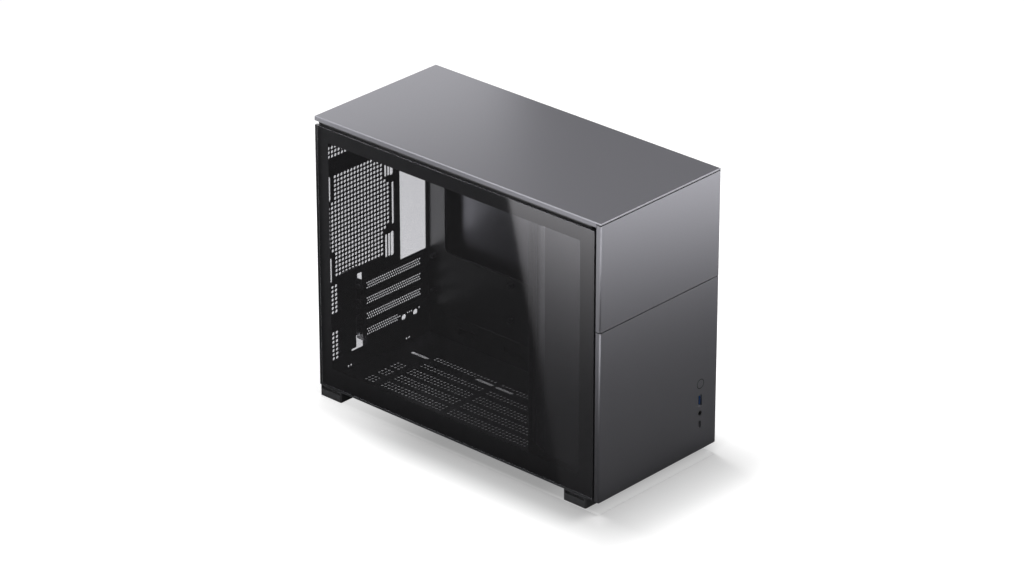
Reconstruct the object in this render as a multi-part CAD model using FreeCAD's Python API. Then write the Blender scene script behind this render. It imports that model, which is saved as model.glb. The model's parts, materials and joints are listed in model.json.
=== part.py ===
import FreeCAD, Part
import math
import os

# Overall size of the case, in millimetres
case_width = 204.0
shell_depth = 440.0
case_height = 362.5
body_underside = 15.5
slot_guard_reach = 11.0

# Sheet and glass thicknesses
steel_sheet = 1.0
cover_skin = 2.0
glass_thickness = 4.0

# Outer covers
top_flange_height = 6.0
cover_edge_chamfer = 1.0
cover_edge_radius = 1.4
cover_seam = 1.0
front_flange_depth = 6.5
front_seam_height = 228.8
panel_front_gap = 3.3
panel_top_gap = 5.3
panel_rear_gap = 0.0
side_recess = 0.5
glass_rail_half = 5.0
panel_hem_depth = 4.0

# Chassis
chassis_inset = 6.0
chassis_front_gap = 9.0
chassis_top_gap = 6.0
chassis_rear_inset = 1.0
chassis_floor_rise = 1.0
roof_opening_margin = 38.0
front_opening_margin = 40.0
front_opening_height = 116.0
front_opening_rise = 47.5
front_opening_cut = 12.0
rail_height = 14.0
rail_clearance = 0.5
tray_to_right_wall = 11.5
cutout_front_reach = 202.0
cutout_rear_reach = 28.0
cutout_low_drop = 223.5
cutout_high_drop = 66.5
cutout_radius = 8.0
cutout_rim_width = 3.0
bead_height = 0.8
chamber_depth = 122.0
chamber_wall_edge_x = -84.5
plate_face_x = -90.0
plate_facet_x = -78.0
plate_fold_d = 93.0
plate_facet_end_d = 117.0
plate_front_d = 14.0
plate_rise = 24.8
plate_drop = 16.5
supply_bracket_drop = 38.5

# Perforation: rows of small holes, cut here as short slots over a few holes each
hole_pitch = 5.5
hole_size = 4.0
holes_per_slot = 9

# Rear wall
rear_fan_to_tray = 114.5
rear_fan_drop = 146.9
fan_screw_spacing = 105.0
fan_slot_width = 5.5
rear_fan_slot_length = 32.0
floor_fan_slot_length = 28.0
grille_low_x = -83.0
grille_reach = 60.85
grille_rows = 24
grille_end_rows = 6
vent_low_x = -81.5
vent_drop = 53.5
vent_rows = 3
strip_low_x = -85.25
strip_low_z = 40.75
strip_columns = 3
io_opening_width = 44.45
io_opening_height = 158.75
io_opening_drop = 148.15
io_to_tray = 4.0

# Expansion slots
slot_pitch = 20.32
slot_count = 4
first_slot_drop = 160.9
slot_cover_width = 18.4
slot_cover_sheet = 0.8
slot_opening_height = 15.0
slot_opening_length = 100.0
slot_ledge_to_tray = 114.2
slot_window_width = 11.5
slot_window_drop = 78.0
slot_window_rise = 20.5
slot_tab_reach = 8.4
tab_notch_half = 1.8
slot_cover_length = 107.0
slot_vent_start = 7.0
slot_vent_length = 92.0
slot_vent_height = 2.0
slot_vent_pitch = 3.3
grommet_hole_radius = 3.75
guard_drop = 67.5
guard_rise = 23.5
guard_width = 24.0
guard_foot_width = 11.0

# Floor fans
floor_fan_x = -22.5
floor_fan_to_rear = 89.0
floor_fan_pitch = 137.0
floor_zone_rear_reach = 62.0
floor_zone_front_reach = 59.0
floor_patch_reach = 47.0
floor_zone_holes = 18
floor_zone_front_holes = 22
floor_patch_holes = 3

# Circuit board fixing points
board_span_d = 227.33
board_mid_d = 124.46
board_mid_z = 154.94
board_last_z = 45.72
board_top_drop = 78.1
board_rear_column_gap = 11.0
standoff_height = 6.5
standoff_across = 5.5
screw_bore_radius = 1.5

# Dust filter
filter_frame_width = 6.0
filter_screen = 0.3

# Feet
foot_length = 34.3
foot_width = 26.0
foot_side_height = 10.2
foot_groove_depth = 4.0
foot_groove_end = 2.5
foot_corner_cut = 1.5
foot_inset = 0.8
pad_thickness = 1.0
pad_margin = 5.0

# Front switch and sockets
io_column_x = 73.3
button_z = 101.0
button_radius = 5.8
button_travel = 1.2
button_clearance = 0.3
button_cap_depth = 2.0
button_collar = 1.2
button_stem_radius = 2.0
power_switch_half = 3.0
usb_a_z = 79.5
usb_a_height = 13.1
usb_a_width = 5.7
usb_c_z = 48.8
usb_c_height = 8.9
usb_c_width = 3.2
socket_wall = 0.4
jack_z = 63.3
jack_radius = 3.0
jack_bore_radius = 1.8
jack_bore_depth = 13.0
jack_lead = 0.6
socket_front_d = 1.0
io_board_d = 16.0
io_board_thickness = 1.6
io_bracket_thickness = 2.0
io_margin = 12.0

# Power inlet
inlet_x = 52.0
inlet_drop = 30.5
inlet_opening_width = 27.0
inlet_opening_height = 19.6
inlet_flange_width = 48.0
inlet_flange_height = 22.4
inlet_flange_depth = 2.0
inlet_screw_spacing = 40.0
inlet_body_depth = 22.0
inlet_cavity_depth = 17.0
inlet_pin_length = 12.0

# Pull-off catches
stud_across = 4.0
stud_neck = 2.8
stud_head = 2.4
stud_grip = 4.0
catch_size = 9.0
catch_clearance = 0.4
catch_margin = 22.0
front_catch_reach = 66.0

# Worked-out places; depths are counted from the front face
half_width = case_width / 2
full_depth = shell_depth - chassis_rear_inset + slot_guard_reach
front_y = -full_depth / 2
chassis_half = half_width - chassis_inset
chassis_low = body_underside + chassis_floor_rise
chassis_high = case_height - chassis_top_gap
floor_top = chassis_low + steel_sheet
roof_low = chassis_high - steel_sheet
front_plate_d = chassis_front_gap
bay_front_d = front_plate_d + steel_sheet
wall_outer_d = shell_depth - chassis_rear_inset
wall_inner_d = wall_outer_d - steel_sheet
flange_low = case_height - top_flange_height
skin_low = case_height - cover_skin
panel_front_d = front_flange_depth + panel_front_gap
panel_rear_d = shell_depth - panel_rear_gap
panel_low = body_underside
panel_high = flange_low - panel_top_gap
glass_outer = -half_width + side_recess
glass_inner = glass_outer + glass_thickness
rail_inner = glass_inner + steel_sheet
right_outer = half_width - side_recess
right_inner = right_outer - steel_sheet
tray_x = chassis_half - tray_to_right_wall
floor_fan_rear_d = wall_inner_d - floor_fan_to_rear
floor_fan_front_d = floor_fan_rear_d - floor_fan_pitch
front_opening_low_z = chassis_low + front_opening_rise
cutout_low_z = chassis_high - cutout_low_drop
cutout_high_z = chassis_high - cutout_high_drop
plate_low_z = chassis_low + plate_rise
plate_high_z = chassis_high - plate_drop
supply_bracket_z = chassis_high - supply_bracket_drop
rear_fan_x = tray_x - rear_fan_to_tray
rear_fan_z = chassis_high - rear_fan_drop
grille_low_z = rear_fan_z - grille_reach
vent_low_z = chassis_high - vent_drop
inlet_z = chassis_high - inlet_drop
board_top_row_z = chassis_high - board_top_drop
io_opening_low_z = board_top_row_z - io_opening_drop
first_slot_z = board_top_row_z - first_slot_drop
slot_window_low_z = first_slot_z - slot_window_drop
slot_window_high_z = first_slot_z + slot_window_rise
guard_low_z = first_slot_z - guard_drop
guard_high_z = first_slot_z + guard_rise
slot_ledge_x = tray_x - slot_ledge_to_tray
io_high_x = tray_x - io_to_tray
io_low_x = io_high_x - io_opening_width
slot_window_x = slot_ledge_x - slot_window_width
front_cover_top = skin_low - cover_seam
plus_x = FreeCAD.Vector(1, 0, 0)
minus_x = FreeCAD.Vector(-1, 0, 0)
plus_y = FreeCAD.Vector(0, 1, 0)
plus_z = FreeCAD.Vector(0, 0, 1)
minus_z = FreeCAD.Vector(0, 0, -1)


def depth_y(distance):
    """Turn a depth behind the front face into a Y coordinate."""
    return front_y + distance


def block(x_low, x_high, d_low, d_high, z_low, z_high):
    """A rectangular solid between two corners."""
    corner = FreeCAD.Vector(x_low, depth_y(d_low), z_low)
    return Part.makeBox(x_high - x_low, d_high - d_low, z_high - z_low, corner)


def rod(x, d, z, radius, length, direction):
    """A round bar that starts at a point and runs along a direction."""
    return Part.makeCylinder(radius, length, FreeCAD.Vector(x, depth_y(d), z), direction)


def hexagon_bar(x, d, z, across, length, direction):
    """A six-sided bar that starts at a point and runs along an axis direction."""
    start = FreeCAD.Vector(x, depth_y(d), z)
    first = plus_z if abs(direction.z) < 0.5 else plus_x
    second = direction.cross(first)
    reach = across / math.sqrt(3)
    turns = [math.radians(60 * number) for number in range(7)]
    corners = [start + first * (reach * math.cos(t)) + second * (reach * math.sin(t)) for t in turns]
    return Part.Face(Part.makePolygon(corners)).extrude(direction * length)


def rectangle(u_low, u_high, v_low, v_high):
    """A closed rectangle in a sheet's own plane."""
    corners = [(u_low, v_low), (u_high, v_low), (u_high, v_high), (u_low, v_high), (u_low, v_low)]
    return Part.makePolygon([FreeCAD.Vector(u, v, 0) for u, v in corners])


def soft_rectangle(u_low, u_high, v_low, v_high, radius):
    """A rectangle with rounded corners; with the largest radius it is an obround slot."""
    radius = min(radius, (u_high - u_low) / 2 - 0.01, (v_high - v_low) / 2 - 0.01)
    centres = [
        (u_high - radius, v_low + radius, -90),
        (u_high - radius, v_high - radius, 0),
        (u_low + radius, v_high - radius, 90),
        (u_low + radius, v_low + radius, 180),
    ]
    arcs = []
    for u, v, start in centres:
        turns = [math.radians(angle) for angle in (start, start + 45, start + 90)]
        arcs.append([FreeCAD.Vector(u + radius * math.cos(t), v + radius * math.sin(t), 0) for t in turns])
    edges = []
    for number, arc in enumerate(arcs):
        edges.append(Part.Arc(*arc).toShape())
        edges.append(Part.LineSegment(arc[2], arcs[(number + 1) % 4][0]).toShape())
    return Part.Wire(edges)


def cut_corner_rectangle(u_low, u_high, v_low, v_high, cut):
    """A rectangle whose four corners are cut off at 45 degrees."""
    cut = min(cut, (u_high - u_low) / 2 - 0.4, (v_high - v_low) / 2 - 0.4)
    corners = [
        (u_low + cut, v_low), (u_high - cut, v_low), (u_high, v_low + cut), (u_high, v_high - cut),
        (u_high - cut, v_high), (u_low + cut, v_high), (u_low, v_high - cut), (u_low, v_low + cut),
    ]
    return Part.makePolygon([FreeCAD.Vector(u, v, 0) for u, v in corners + corners[:1]])


def square(u, v, half):
    """A square hole about a centre."""
    return rectangle(u - half, u + half, v - half, v + half)


def disc(u, v, radius):
    """A round hole outline in a sheet's own plane."""
    return Part.Wire([Part.Circle(FreeCAD.Vector(u, v, 0), plus_z, radius).toShape()])


def near(wire, others, gap):
    """Whether a hole comes closer than gap to one of the others, box against box."""
    box = wire.BoundBox
    for other in others:
        beyond_u = box.XMin > other.BoundBox.XMax + gap or box.XMax < other.BoundBox.XMin - gap
        beyond_v = box.YMin > other.BoundBox.YMax + gap or box.YMax < other.BoundBox.YMin - gap
        if not (beyond_u or beyond_v):
            return True
    return False


def hole_row(low, count, across, upright=False):
    """A row of perforation, cut as short slots of a few holes; upright rows run along v."""
    slots = []
    for start in range(0, count, holes_per_slot):
        holes = min(holes_per_slot, count - start)
        first = low + start * hole_pitch - hole_size / 2
        last = first + (holes - 1) * hole_pitch + hole_size
        left = across - hole_size / 2
        right = across + hole_size / 2
        slots.append(rectangle(left, right, first, last) if upright else rectangle(first, last, left, right))
    return slots


def sheet(facing, level, thickness, outline, holes=()):
    """A flat sheet with holes: facing is the axis through it, level its low side."""
    face = Part.makeFace([outline] + list(holes), "Part::FaceMakerBullseye")
    solid = face.extrude(FreeCAD.Vector(0, 0, thickness))
    if facing == "x":
        turn = FreeCAD.Rotation(plus_y, plus_z, plus_x)
        place = FreeCAD.Vector(level, front_y, 0)
    elif facing == "y":
        turn = FreeCAD.Rotation(plus_x, plus_z, FreeCAD.Vector(0, -1, 0))
        place = FreeCAD.Vector(0, depth_y(level) + thickness, 0)
    else:
        turn = FreeCAD.Rotation()
        place = FreeCAD.Vector(0, front_y, level)
    solid.Placement = FreeCAD.Placement(place, turn)
    return solid


def fused(solids):
    """Join the touching walls of one folded piece into one solid."""
    return solids[0].fuse(solids[1:]).removeSplitter()


def save(name, solids):
    """Write one named piece, or one named group of like pieces."""
    shape = solids[0] if len(solids) == 1 else Part.makeCompound(solids)
    shape.exportStep("parts/" + name + ".step")
    state = "ok" if shape.isValid() and len(shape.Solids) == len(solids) else "BROKEN"
    print(name, len(shape.Solids), state)


# Catches: a stud on each cover passes through a chassis sheet into a socket behind it
def stud(x, d, z, reach, direction):
    """A headed pin on the inside of a cover; reach is how far the socket lies away."""
    length = reach + stud_grip
    shank = hexagon_bar(x, d, z, stud_neck, length, direction)
    tip = FreeCAD.Vector(x, d, z) + direction * (length - stud_head)
    head = hexagon_bar(tip.x, tip.y, tip.z, stud_across, stud_head, direction)
    return shank.fuse(head).removeSplitter()


def socket(x, d, z, reach, direction):
    """The socket block behind the chassis sheet, with a blind bore for the stud."""
    start = FreeCAD.Vector(x, depth_y(d), z) + direction * reach
    middle = start + direction * (catch_size / 2)
    low = middle - FreeCAD.Vector(catch_size / 2, catch_size / 2, catch_size / 2)
    body = Part.makeBox(catch_size, catch_size, catch_size, low)
    bore = Part.makeBox(2 * catch_hole, 2 * catch_hole, 2 * catch_hole)
    bore.translate(start + direction * (stud_grip + catch_clearance - catch_hole)
                   - FreeCAD.Vector(catch_hole, catch_hole, catch_hole))
    return body.cut(bore)


def catch_spots(low_u, high_u, low_v, high_v):
    """Four corner places and none between, one catch margin inside a panel's edges."""
    return [(u, v) for u in (low_u + catch_margin, high_u - catch_margin) for v in (low_v, high_v)]


catch_hole = stud_across / math.sqrt(3) + catch_clearance
glass_reach = (-chassis_half + steel_sheet) - rail_inner
right_reach = right_inner - (chassis_half - steel_sheet)
top_reach = skin_low - roof_low
front_reach = bay_front_d - cover_skin
rail_low_z = chassis_low + rail_height / 2
rail_high_z = chassis_high - rail_height / 2
side_spots = catch_spots(panel_front_d, panel_rear_d, rail_low_z, rail_high_z)
top_spots = catch_spots(-half_width, half_width, 40.0, wall_inner_d - 40.0)
front_catch_x = front_catch_reach + catch_margin
upper_spots = catch_spots(-front_catch_x, front_catch_x, front_seam_height + catch_margin,
                          chassis_high - catch_margin)
lower_spots = catch_spots(-front_catch_x, front_catch_x, chassis_low + catch_margin / 2,
                          front_seam_height - catch_margin)


def side_rail(side, low, high):
    """One lengthwise wall of the floor or the roof, with holes for the panel's studs."""
    spots = [(d, z) for d, z in side_spots if low < z < high]
    holes = [square(d, z, catch_hole) for d, z in spots]
    level = chassis_half - steel_sheet if side > 0 else -chassis_half
    return sheet("x", level, steel_sheet, rectangle(bay_front_d, wall_inner_d, low, high), holes)


def fan_slots(middle_u, middle_v, length, outline):
    """Four upright slotted screw holes on the square of one fan."""
    half = fan_screw_spacing / 2
    half_u = fan_slot_width / 2
    half_v = length / 2
    slots = []
    for u in (middle_u - half, middle_u + half):
        for v in (middle_v - half, middle_v + half):
            slots.append(outline(u - half_u, u + half_u, v - half_v, v + half_v, fan_slot_width / 2))
    return slots


# Chassis sheets
def floor_pan():
    """Floor with two perforated fan fields and turned-up sides."""
    holes = fan_slots(floor_fan_x, floor_fan_rear_d, floor_fan_slot_length, cut_corner_rectangle)
    holes += fan_slots(floor_fan_x, floor_fan_front_d, floor_fan_slot_length, cut_corner_rectangle)
    slots = list(holes)
    rows_x = [38.5, 16.5, 11.0, -2.0, -7.5, -13.0, -23.5, -29.0, -34.5, -46.0, -51.5, -57.0, -67.0]
    for x in rows_x:
        zones = hole_row(floor_fan_rear_d - floor_zone_rear_reach, floor_zone_holes, x, True)
        zones += hole_row(floor_fan_front_d - floor_zone_front_reach, floor_zone_front_holes, x, True)
        zones += hole_row(floor_fan_rear_d + floor_patch_reach, floor_patch_holes, x, True)
        holes += [wire for wire in zones if not near(wire, slots, steel_sheet)]
    outline = rectangle(-chassis_half, chassis_half, bay_front_d, wall_inner_d)
    plate = sheet("z", chassis_low, steel_sheet, outline, holes)
    high = chassis_low + rail_height
    return [fused([plate, side_rail(-1, chassis_low, high), side_rail(1, chassis_low, high)])]


def top_frame():
    """Roof sheet with one large fan opening and turned-down sides."""
    outline = rectangle(-chassis_half, chassis_half, bay_front_d, wall_inner_d)
    holes = [square(x, d, catch_hole) for x, d in top_spots]
    half = chassis_half - roof_opening_margin
    for middle_d in (floor_fan_front_d, floor_fan_rear_d):
        holes.append(cut_corner_rectangle(-half, half, middle_d - half, middle_d + half, front_opening_cut))
    holes.append(cut_corner_rectangle(-half, half, 30.0, chamber_depth - 15.0, front_opening_cut))
    plate = sheet("z", roof_low, steel_sheet, outline, holes)
    low = chassis_high - rail_height
    return [fused([plate, side_rail(-1, low, chassis_high), side_rail(1, low, chassis_high)])]


def end_wall_sides(near_d, far_d):
    """Two upright edge walls that join the floor's rails to the roof's rails."""
    low = chassis_low + rail_height + rail_clearance
    high = chassis_high - rail_height - rail_clearance
    left = block(-chassis_half, -chassis_half + steel_sheet, near_d, far_d, low, high)
    right = block(chassis_half - steel_sheet, chassis_half, near_d, far_d, low, high)
    return [left, right]


def front_plate():
    """Upright sheet behind the front covers, with openings for air, cables and sockets."""
    outline = rectangle(-chassis_half, chassis_half, chassis_low, chassis_high)
    holes = [square(x, z, catch_hole) for x, z in upper_spots + lower_spots]
    holes.append(rectangle(io_column_x - 8.0, io_column_x + 8.0, usb_c_z - 9.0, button_z + 9.0))
    half = chassis_half - front_opening_margin
    high_low_z = chassis_high - 34.5 - front_opening_height
    for low in (front_opening_low_z, high_low_z):
        holes.append(cut_corner_rectangle(-half, half, low, low + front_opening_height, front_opening_cut))
    plate = sheet("y", front_plate_d, steel_sheet, outline, holes)
    return [fused([plate] + end_wall_sides(bay_front_d, bay_front_d + 12.0))]


def rear_holes():
    """Every hole of the rear wall, in X and Z."""
    fan = fan_slots(rear_fan_x, rear_fan_z, rear_fan_slot_length, soft_rectangle)
    io = rectangle(io_low_x, io_high_x, io_opening_low_z, io_opening_low_z + io_opening_height)
    low = slot_window_low_z
    corners = [(slot_ledge_x, low), (slot_ledge_x, slot_window_high_z), (slot_window_x, slot_window_high_z),
               (slot_window_x, low + 3.0), (slot_window_x - 8.0, low + 3.0), (slot_window_x - 8.0, low)]
    points = [FreeCAD.Vector(x, z, 0) for x, z in corners + corners[:1]]
    large = fan + [io, Part.makePolygon(points)]
    slit_x = rear_fan_x + fan_screw_spacing / 2
    large.append(cut_corner_rectangle(slit_x, slit_x + 3.5, 182.0, 237.0, 1.0))
    for x in (rear_fan_x + 40.5, rear_fan_x + 46.0):
        for middle in (rear_fan_z - fan_screw_spacing / 2, rear_fan_z + fan_screw_spacing / 2):
            large.append(rectangle(x, x + 3.7, middle - 15.0, middle + 15.0))
    for number in range(slot_count):
        middle = slot_middle(number)
        start = slot_ledge_x + steel_sheet + 2.0
        half = slot_opening_height / 2
        large.append(rectangle(start, start + slot_opening_length, middle - half, middle + half))
    half_w = inlet_opening_width / 2
    half_h = inlet_opening_height / 2
    large.append(rectangle(inlet_x - half_w, inlet_x + half_w, inlet_z - half_h, inlet_z + half_h))
    for x in (-52.5, 47.5):
        large.append(rectangle(x - 1.8, x + 1.8, 20.0, 24.0))
    small = []
    for row in range(grille_rows):
        z = grille_low_z + row * hole_pitch
        middle = grille_end_rows <= row < grille_rows - grille_end_rows
        start = grille_low_x if middle else grille_low_x + 2 * hole_pitch
        small += hole_row(start, 18 if middle else 15, z)
    for row in range(vent_rows):
        small += hole_row(vent_low_x, 18, vent_low_z + row * hole_pitch)
    for column in range(strip_columns):
        small += hole_row(strip_low_z, 18, strip_low_x + column * (hole_pitch + 0.35), True)
    return large + [wire for wire in small if not near(wire, large, 0.8)]


def rear_wall():
    """Rear sheet with the fan grille, the connector opening and the slot openings."""
    outline = rectangle(-chassis_half, chassis_half, chassis_low, chassis_high)
    plate = sheet("y", wall_inner_d, steel_sheet, outline, rear_holes())
    ledge_low = first_slot_z - (slot_count - 1) * slot_pitch - slot_cover_width / 2
    ledge_high = first_slot_z + slot_cover_width / 2
    spots = [(wall_outer_d + slot_tab_reach / 2, slot_middle(number)) for number in range(slot_count)]
    ledge = sheet("x", slot_ledge_x, steel_sheet,
                  rectangle(wall_inner_d, wall_outer_d + slot_tab_reach, ledge_low, ledge_high),
                  [disc(d, z, screw_bore_radius) for d, z in spots])
    return [fused([plate, ledge] + end_wall_sides(wall_inner_d - 12.0, wall_inner_d))]


def motherboard_tray():
    """Upright sheet that the circuit board is fixed to, with its cut-outs for cables."""
    front_d = chamber_depth + steel_sheet
    top_hole_z = chassis_high - 38.5
    outline = rectangle(front_d, wall_inner_d, floor_top, roof_low)
    cut_low_d = wall_inner_d - cutout_front_reach
    cut_high_d = wall_inner_d - cutout_rear_reach
    holes = [
        soft_rectangle(cut_low_d, cut_high_d, cutout_low_z, cutout_high_z, cutout_radius),
        rectangle(wall_inner_d - 76.0, wall_inner_d - 48.0, 30.0, 39.0),
        rectangle(wall_inner_d - 155.0, wall_inner_d - 123.0, 31.0, 38.0),
        cut_corner_rectangle(front_d + 12.0, front_d + 30.0, 60.0, 120.0, 6.0),
        cut_corner_rectangle(front_d + 12.0, front_d + 30.0, 150.0, 290.0, 6.0),
        cut_corner_rectangle(180.0, 230.0, top_hole_z, top_hole_z + 20.0, 6.0),
        cut_corner_rectangle(wall_inner_d - 108.0, wall_inner_d - 58.0, top_hole_z,
                             top_hole_z + 20.0, 6.0),
    ]
    plate = sheet("x", tray_x, steel_sheet, outline, holes)
    wide = cutout_rim_width
    cutout = soft_rectangle(cut_low_d, cut_high_d, cutout_low_z, cutout_high_z, cutout_radius)
    rim_edge = soft_rectangle(cut_low_d - wide, cut_high_d + wide, cutout_low_z - wide,
                              cutout_high_z + wide, cutout_radius)
    rim = sheet("x", tray_x - bead_height, bead_height, rim_edge, [cutout])
    bead = block(tray_x - bead_height, tray_x, front_d + 6.0, wall_inner_d - 22.0, 49.4, 51.0)
    hem = block(tray_x + steel_sheet, chassis_half - steel_sheet - rail_clearance, wall_inner_d - steel_sheet,
                wall_inner_d, floor_top + rail_height, roof_low - rail_height)
    return [fused([plate, rim, bead, hem])]


def chamber_wall():
    """Upright sheet across the case that closes off the power supply's chamber."""
    outline = rectangle(chamber_wall_edge_x, tray_x + steel_sheet, floor_top, roof_low)
    holes = [cut_corner_rectangle(20.0, 64.0, low, low + 30.0, 8.0) for low in (40.0, 265.0)]
    return [sheet("y", chamber_depth, steel_sheet, outline, holes)]


def chamber_plate():
    """Folded cover of the chamber behind the glass: a flat face and one slanted facet."""
    face_x = plate_face_x
    points = [(face_x, plate_front_d), (face_x, plate_fold_d), (plate_facet_x, plate_facet_end_d),
              (plate_facet_x, chamber_depth)]
    back = steel_sheet
    inner = [(plate_facet_x + back, chamber_depth), (plate_facet_x + back, plate_facet_end_d - back / 2),
             (face_x + back, plate_fold_d - back / 2), (face_x + back, plate_front_d)]
    outline = [FreeCAD.Vector(x, depth_y(d), plate_low_z) for x, d in points + inner + points[:1]]
    body = Part.Face(Part.makePolygon(outline)).extrude(plus_z * (plate_high_z - plate_low_z))
    flange = block(face_x, face_x + 14.0, bay_front_d, bay_front_d + steel_sheet, plate_low_z, plate_high_z)
    link = block(face_x, face_x + back, bay_front_d, plate_front_d, plate_low_z, plate_high_z)
    return [fused([body, link, flange])]


def supply_bracket():
    """Level frame at the top of the chamber that the power supply is screwed to."""
    low_x = plate_face_x + 14.0
    outline = rectangle(low_x, tray_x, bay_front_d, chamber_depth)
    middle_x = 0.0
    middle_d = (bay_front_d + chamber_depth) / 2
    holes = [cut_corner_rectangle(middle_x - 62.0, middle_x + 62.0, middle_d - 40.0, middle_d + 40.0, 8.0)]
    for x in (middle_x - 69.0, middle_x + 69.0):
        for d in (middle_d - 32.0, middle_d + 32.0):
            holes.append(disc(x, d, 2.0))
    plate = sheet("z", supply_bracket_z, steel_sheet, outline, holes)
    lip = block(low_x, tray_x, chamber_depth - steel_sheet, chamber_depth, supply_bracket_z - 10.0,
                supply_bracket_z)
    return [fused([plate, lip])]


def drive_bracket(low_d, low_z):
    """Folded shelf behind the board tray that holds one flat drive."""
    near_x = tray_x + steel_sheet
    far_x = near_x + 8.0
    plate = sheet("x", far_x, steel_sheet, rectangle(low_d, low_d + 76.0, low_z, low_z + 100.0),
                  [cut_corner_rectangle(low_d + 14.0, low_d + 62.0, low_z + 14.0, low_z + 86.0, 6.0)])
    lower = block(near_x, far_x, low_d, low_d + 76.0, low_z, low_z + steel_sheet)
    upper = block(near_x, far_x, low_d, low_d + 76.0, low_z + 100.0 - steel_sheet, low_z + 100.0)
    return [fused([plate, lower, upper])]


# Expansion slots
def slot_middle(number):
    """Height of one expansion slot's centre line."""
    return first_slot_z - number * slot_pitch


def slot_cover(number):
    """Vented blanking plate of one slot, with its tab bent out to the rear."""
    middle = slot_middle(number)
    low_x = slot_ledge_x
    low = middle - slot_cover_width / 2
    high = middle + slot_cover_width / 2
    vent_low = low_x + slot_vent_start
    last = number == slot_count - 1
    length = slot_vent_length * (0.55 if last else 1.0)
    holes = []
    for row in (-1, 0, 1):
        z = middle + row * slot_vent_pitch
        for part in range(2):
            start = vent_low + part * length / 2
            holes.append(rectangle(start, start + length / 2 - 1.5, z - slot_vent_height / 2,
                                   z + slot_vent_height / 2))
    if last:
        holes += [disc(x, middle - 3.8, grommet_hole_radius) for x in (40.0, 60.0)]
    far_x = low_x + slot_cover_length
    near_d = wall_inner_d - slot_cover_sheet
    plate = sheet("y", near_d, slot_cover_sheet, rectangle(low_x, far_x, low, high), holes)
    tab_x = low_x - slot_cover_sheet
    tab_d = wall_outer_d + slot_tab_reach
    notch_d = tab_d - slot_tab_reach / 2 - tab_notch_half
    tab = block(tab_x, low_x, near_d, tab_d, low, high)
    tab = tab.cut(block(tab_x, low_x, notch_d, tab_d, middle - tab_notch_half, middle + tab_notch_half))
    return [fused([plate, tab])]


def slot_screws():
    """Screws that hold the four tabs, all alike."""
    screws = []
    for number in range(slot_count):
        d = wall_outer_d + slot_tab_reach / 2
        x = slot_ledge_x - slot_cover_sheet
        head = hexagon_bar(x - 2.2, d, slot_middle(number), 6.4, 2.2, plus_x)
        shank = hexagon_bar(x, d, slot_middle(number), 2.2, 4.0, plus_x)
        screws.append(fused([head, shank]))
    return screws


def slot_guard():
    """Folded cover behind the tabs, screwed to the outside of the rear wall."""
    high_x = slot_ledge_x + steel_sheet + 2.0
    low_x = high_x - guard_width
    outer_d = wall_outer_d + slot_guard_reach
    face = block(low_x, high_x, outer_d - steel_sheet, outer_d, guard_low_z, guard_high_z)
    wall = block(low_x, low_x + steel_sheet, wall_outer_d, outer_d, guard_low_z, guard_high_z)
    foot_x = low_x - guard_foot_width
    foot = block(foot_x, low_x, wall_outer_d, wall_outer_d + steel_sheet, guard_low_z, guard_high_z)
    return [fused([face, wall, foot])]


def guard_screws():
    """Two low-headed screws through the guard's foot."""
    x = slot_ledge_x + steel_sheet + 2.0 - guard_width - guard_foot_width / 2
    middle = (guard_low_z + guard_high_z) / 2
    start_d = wall_outer_d + steel_sheet
    return [hexagon_bar(x, start_d, middle + side * 30.0, 6.0, 1.8, plus_y) for side in (-1, 1)]


def standoffs():
    """Hexagonal posts with a screw bore, pressed onto the board tray."""
    rear_d = wall_inner_d - board_rear_column_gap
    columns = [rear_d, rear_d - board_mid_d, rear_d - board_span_d]
    rows = [board_top_row_z, board_top_row_z - board_mid_z, board_top_row_z - board_mid_z - board_last_z]
    posts = []
    for d in columns:
        for z in rows:
            beside_cutout = d > wall_inner_d - cutout_rear_reach + cutout_radius or d < 230.0
            inside_cutout = not beside_cutout and cutout_low_z - 6.0 < z < cutout_high_z + 6.0
            if inside_cutout:
                continue
            turns = [math.radians(60 * number) for number in range(7)]
            reach = standoff_across / math.sqrt(3)
            corners = [FreeCAD.Vector(d + reach * math.cos(t), z + reach * math.sin(t), 0) for t in turns]
            posts.append(sheet("x", tray_x - standoff_height, standoff_height, Part.makePolygon(corners),
                               [disc(d, z, screw_bore_radius)]))
    return posts


# Outer covers
def top_cover():
    """Flat top with a chamfered rim, side flanges and a rear flange."""
    skin = block(-half_width, half_width, 0.0, shell_depth, skin_low, case_height)
    rim = [edge for edge in skin.Edges if edge.BoundBox.ZMin > case_height - 0.001]
    skin = skin.makeChamfer(cover_edge_chamfer, rim)
    flange_d = front_flange_depth + rail_clearance
    left = block(-half_width, -half_width + cover_skin, flange_d, shell_depth, flange_low, skin_low)
    right = block(half_width - cover_skin, half_width, flange_d, shell_depth, flange_low, skin_low)
    rear = block(-half_width, half_width, shell_depth - cover_skin, shell_depth, flange_low + rail_clearance,
                 skin_low)
    return [fused([skin, left, right, rear])]


def front_cover(low, high, holes):
    """One part of the front: a flat skin with returned edges."""
    skin = sheet("y", 0.0, cover_skin, rectangle(-half_width, half_width, low, high), holes)
    left = block(-half_width, -half_width + cover_skin, cover_skin, front_flange_depth, low, high)
    right = block(half_width - cover_skin, half_width, cover_skin, front_flange_depth, low, high)
    lower = block(-half_width, half_width, cover_skin, front_flange_depth, low, low + cover_skin)
    upper = block(-half_width, half_width, cover_skin, front_flange_depth, high - cover_skin, high)
    body = fused([skin, left, right, lower, upper])
    tall = high - low - 0.01
    near_front = depth_y(0.01)
    edges = [edge for edge in body.Edges if edge.BoundBox.ZLength > tall and edge.BoundBox.YMax < near_front]
    corners = [edge for edge in edges if abs(edge.BoundBox.XMin) > half_width - 1]
    return body.makeFillet(cover_edge_radius, corners)


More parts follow.
